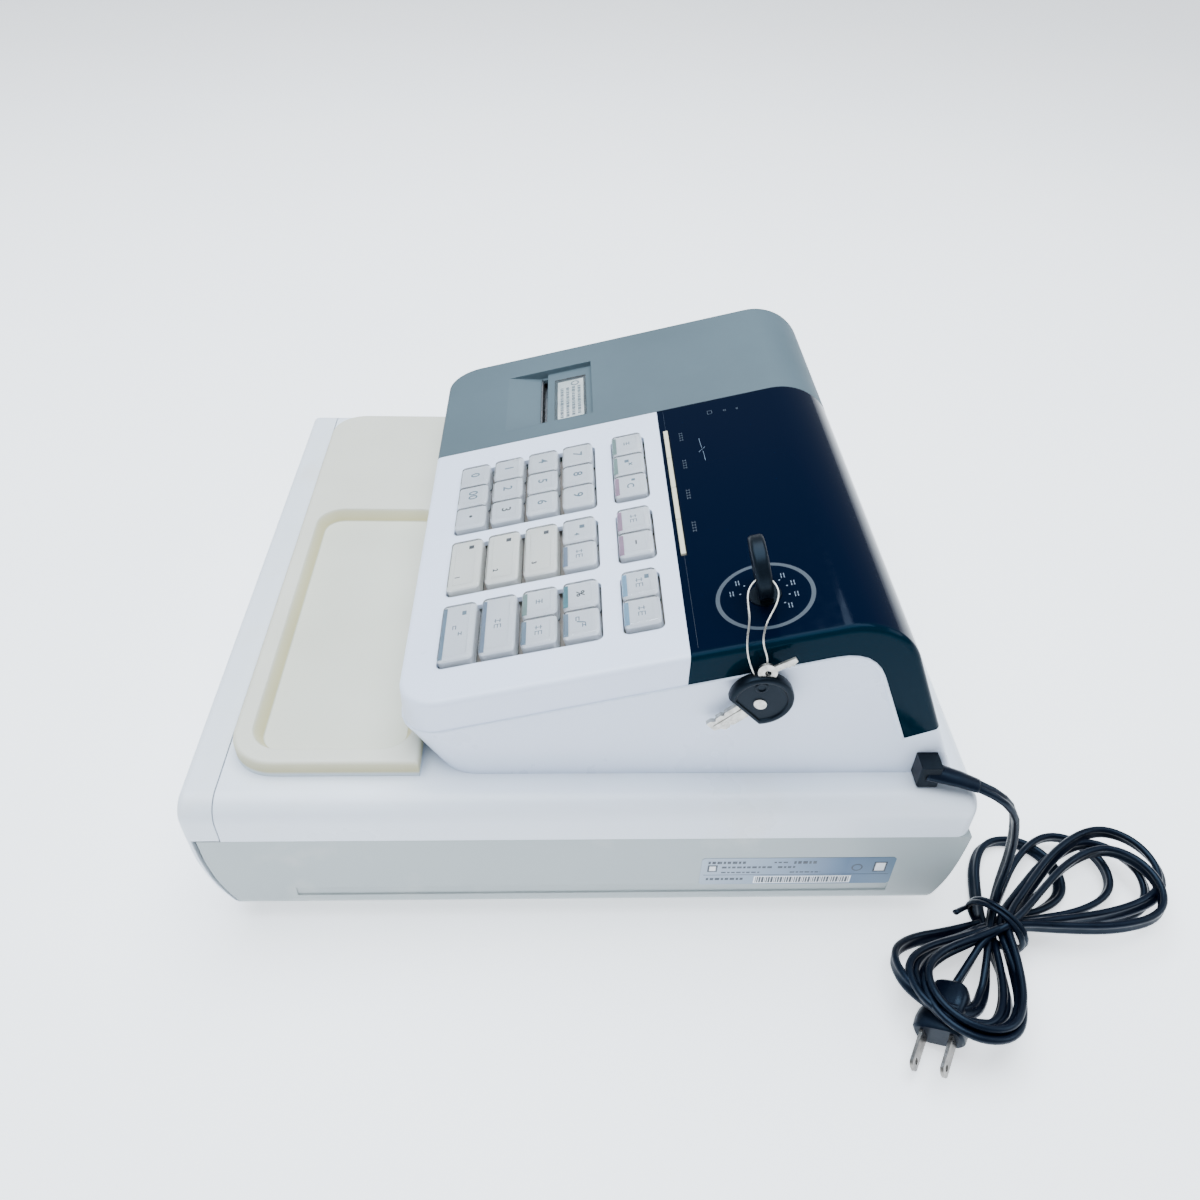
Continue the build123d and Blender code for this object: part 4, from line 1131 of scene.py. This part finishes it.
wire_points = [
    (0.1490, 0.0700, 0.1470), (0.1488, 0.0698, 0.1550), (0.1486, 0.0672, 0.1600), (0.1478, 0.0664, 0.1650),
    (0.1440, 0.0676, 0.1694), (0.1380, 0.0722, 0.1728), (0.1320, 0.0742, 0.1752), (0.1272, 0.0716, 0.1768),
    (0.1250, 0.0688, 0.1772), (0.1272, 0.0650, 0.1768), (0.1312, 0.0614, 0.1750), (0.1370, 0.0612, 0.1722),
    (0.1425, 0.0618, 0.1690), (0.1470, 0.0604, 0.1625), (0.1482, 0.0618, 0.1545), (0.1488, 0.0648, 0.1470),
    (0.1492, 0.0672, 0.1422), (0.1496, 0.0692, 0.1412), (0.1492, 0.0704, 0.1440),
]
wire_curve = bpy.data.curves.new("wire_line", "CURVE")
wire_curve.dimensions = "3D"
wire_spline = wire_curve.splines.new("NURBS")
wire_spline.points.add(len(wire_points) - 1)
for point, at in zip(wire_spline.points, wire_points):
    point.co = (*at, 1.0)
wire_spline.order_u = 4
wire_spline.use_endpoint_u = True
wire_spline.resolution_u = 6
wire_path = line_points(wire_curve)
wire = new_piece("key_wire", tube(wire_path, oval(0, 0, 0.00042, 0.00042, 8)), "ring", key_steel)
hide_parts("ring_wire")

# second operator's key: a black bow, flat on the blade's side, dished on its faces, with a metal oval
on_side = Matrix(((0, 0, 1, 0), (1, 0, 0, 0), (0, 1, 0, 0), (0, 0, 0, 1)))
hang = Matrix.Translation((0.1490, 0.06965, 0.1330)) @ Matrix.Rotation(math.radians(-46), 4, "X") @ on_side
bow_radius = 0.0133
bow_half = 0.0028


def bow_outline(radius, flat, steps=36):
    """Round bow cut straight across low down, as (a, b) points."""
    limit = math.asin(flat / radius)
    points = []
    for step in range(steps + 1):
        angle = -limit + (math.pi + 2 * limit) * step / steps
        points.append((radius * math.cos(angle), radius * math.sin(angle)))
    return points


bow_shape = bmesh.new()
profile = [
    (bow_radius - 0.0030, bow_half - 0.0009), (bow_radius - 0.0026, bow_half - 0.0002),
    (bow_radius - 0.0020, bow_half), (bow_radius - 0.0010, bow_half - 0.0001),
    (bow_radius - 0.0003, bow_half - 0.0006), (bow_radius, bow_half - 0.0014),
]
profile = profile + [(radius, -height) for radius, height in reversed(profile)]
rings = []
for radius, height in profile:
    rings.append(
        [
            bow_shape.verts.new(hang @ Vector((a, b, height)))
            for a, b in bow_outline(radius, 0.0088 * radius / bow_radius)
        ]
    )
skin(bow_shape, rings)
bow_shape.faces.new(rings[0])
bow_shape.faces.new(list(reversed(rings[-1])))
for side in (1, -1):
    level = side * (bow_half - 0.0009)
    inlay = oval(0.0006, -0.0012, 0.0030, 0.0024, 24)
    plate(bow_shape, inlay, min(level, level + side * 0.0005), max(level, level + side * 0.0005), hang, 1)
    eye_ring = oval(-0.0063, 0.0048, 0.0026, 0.0026, 20)
    eye_hole = oval(-0.0063, 0.0048, 0.0018, 0.0018, 20)
    rim = []
    for points, lift in ((eye_ring, 0.0), (eye_ring, 0.0005), (eye_hole, 0.0005), (eye_hole, -0.0010)):
        rim.append([bow_shape.verts.new(hang @ Vector((a, b, level + side * lift))) for a, b in points])
    skin(bow_shape, rim)
blade_outline = [
    (-0.0040, -0.0086), (-0.0040, -0.0155), (-0.0030, -0.0165), (-0.0040, -0.0176), (-0.0040, -0.0200),
    (-0.0026, -0.0212), (-0.0040, -0.0228), (-0.0040, -0.0250), (0.0012, -0.0250), (0.0022, -0.0222),
    (0.0040, -0.0212), (0.0040, -0.0190), (0.0030, -0.0180), (0.0040, -0.0168), (0.0040, -0.0086),
]
plate(bow_shape, blade_outline, -0.0010, 0.0010, hang, 1)
groove = [(-0.0012, -0.0088), (-0.0012, -0.0235), (0.0006, -0.0235), (0.0006, -0.0088)]
plate(bow_shape, groove, 0.0010, 0.0013, hang, 1)
bow_piece = new_piece("spare_key", finished(bow_shape), "ring", key_black, key_steel)

# small stamped key for the drawer, lying on the wire just above
small_place = Matrix.Translation((0.1496, 0.0702, 0.1484)) @ Matrix.Rotation(
    math.radians(122), 4, "X",
) @ on_side
small_shape = bmesh.new()
head, hole = oval(0, 0, 0.0044, 0.0038, 24), oval(-0.0004, 0, 0.0015, 0.0013, 16)
pierced_plate(small_shape, head, hole, 0.0006, small_place)
shank = [
    (-0.0014, -0.0034), (-0.0014, -0.0080), (-0.0022, -0.0086), (-0.0014, -0.0094), (-0.0024, -0.0104),
    (-0.0014, -0.0112), (-0.0008, -0.0126), (0.0014, -0.0126), (0.0014, -0.0034),
]
plate(small_shape, shank, -0.0005, 0.0005, small_place, 0)
small_key = new_piece("drawer_key", finished(small_shape), "ring", key_steel)
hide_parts("spare_keys")
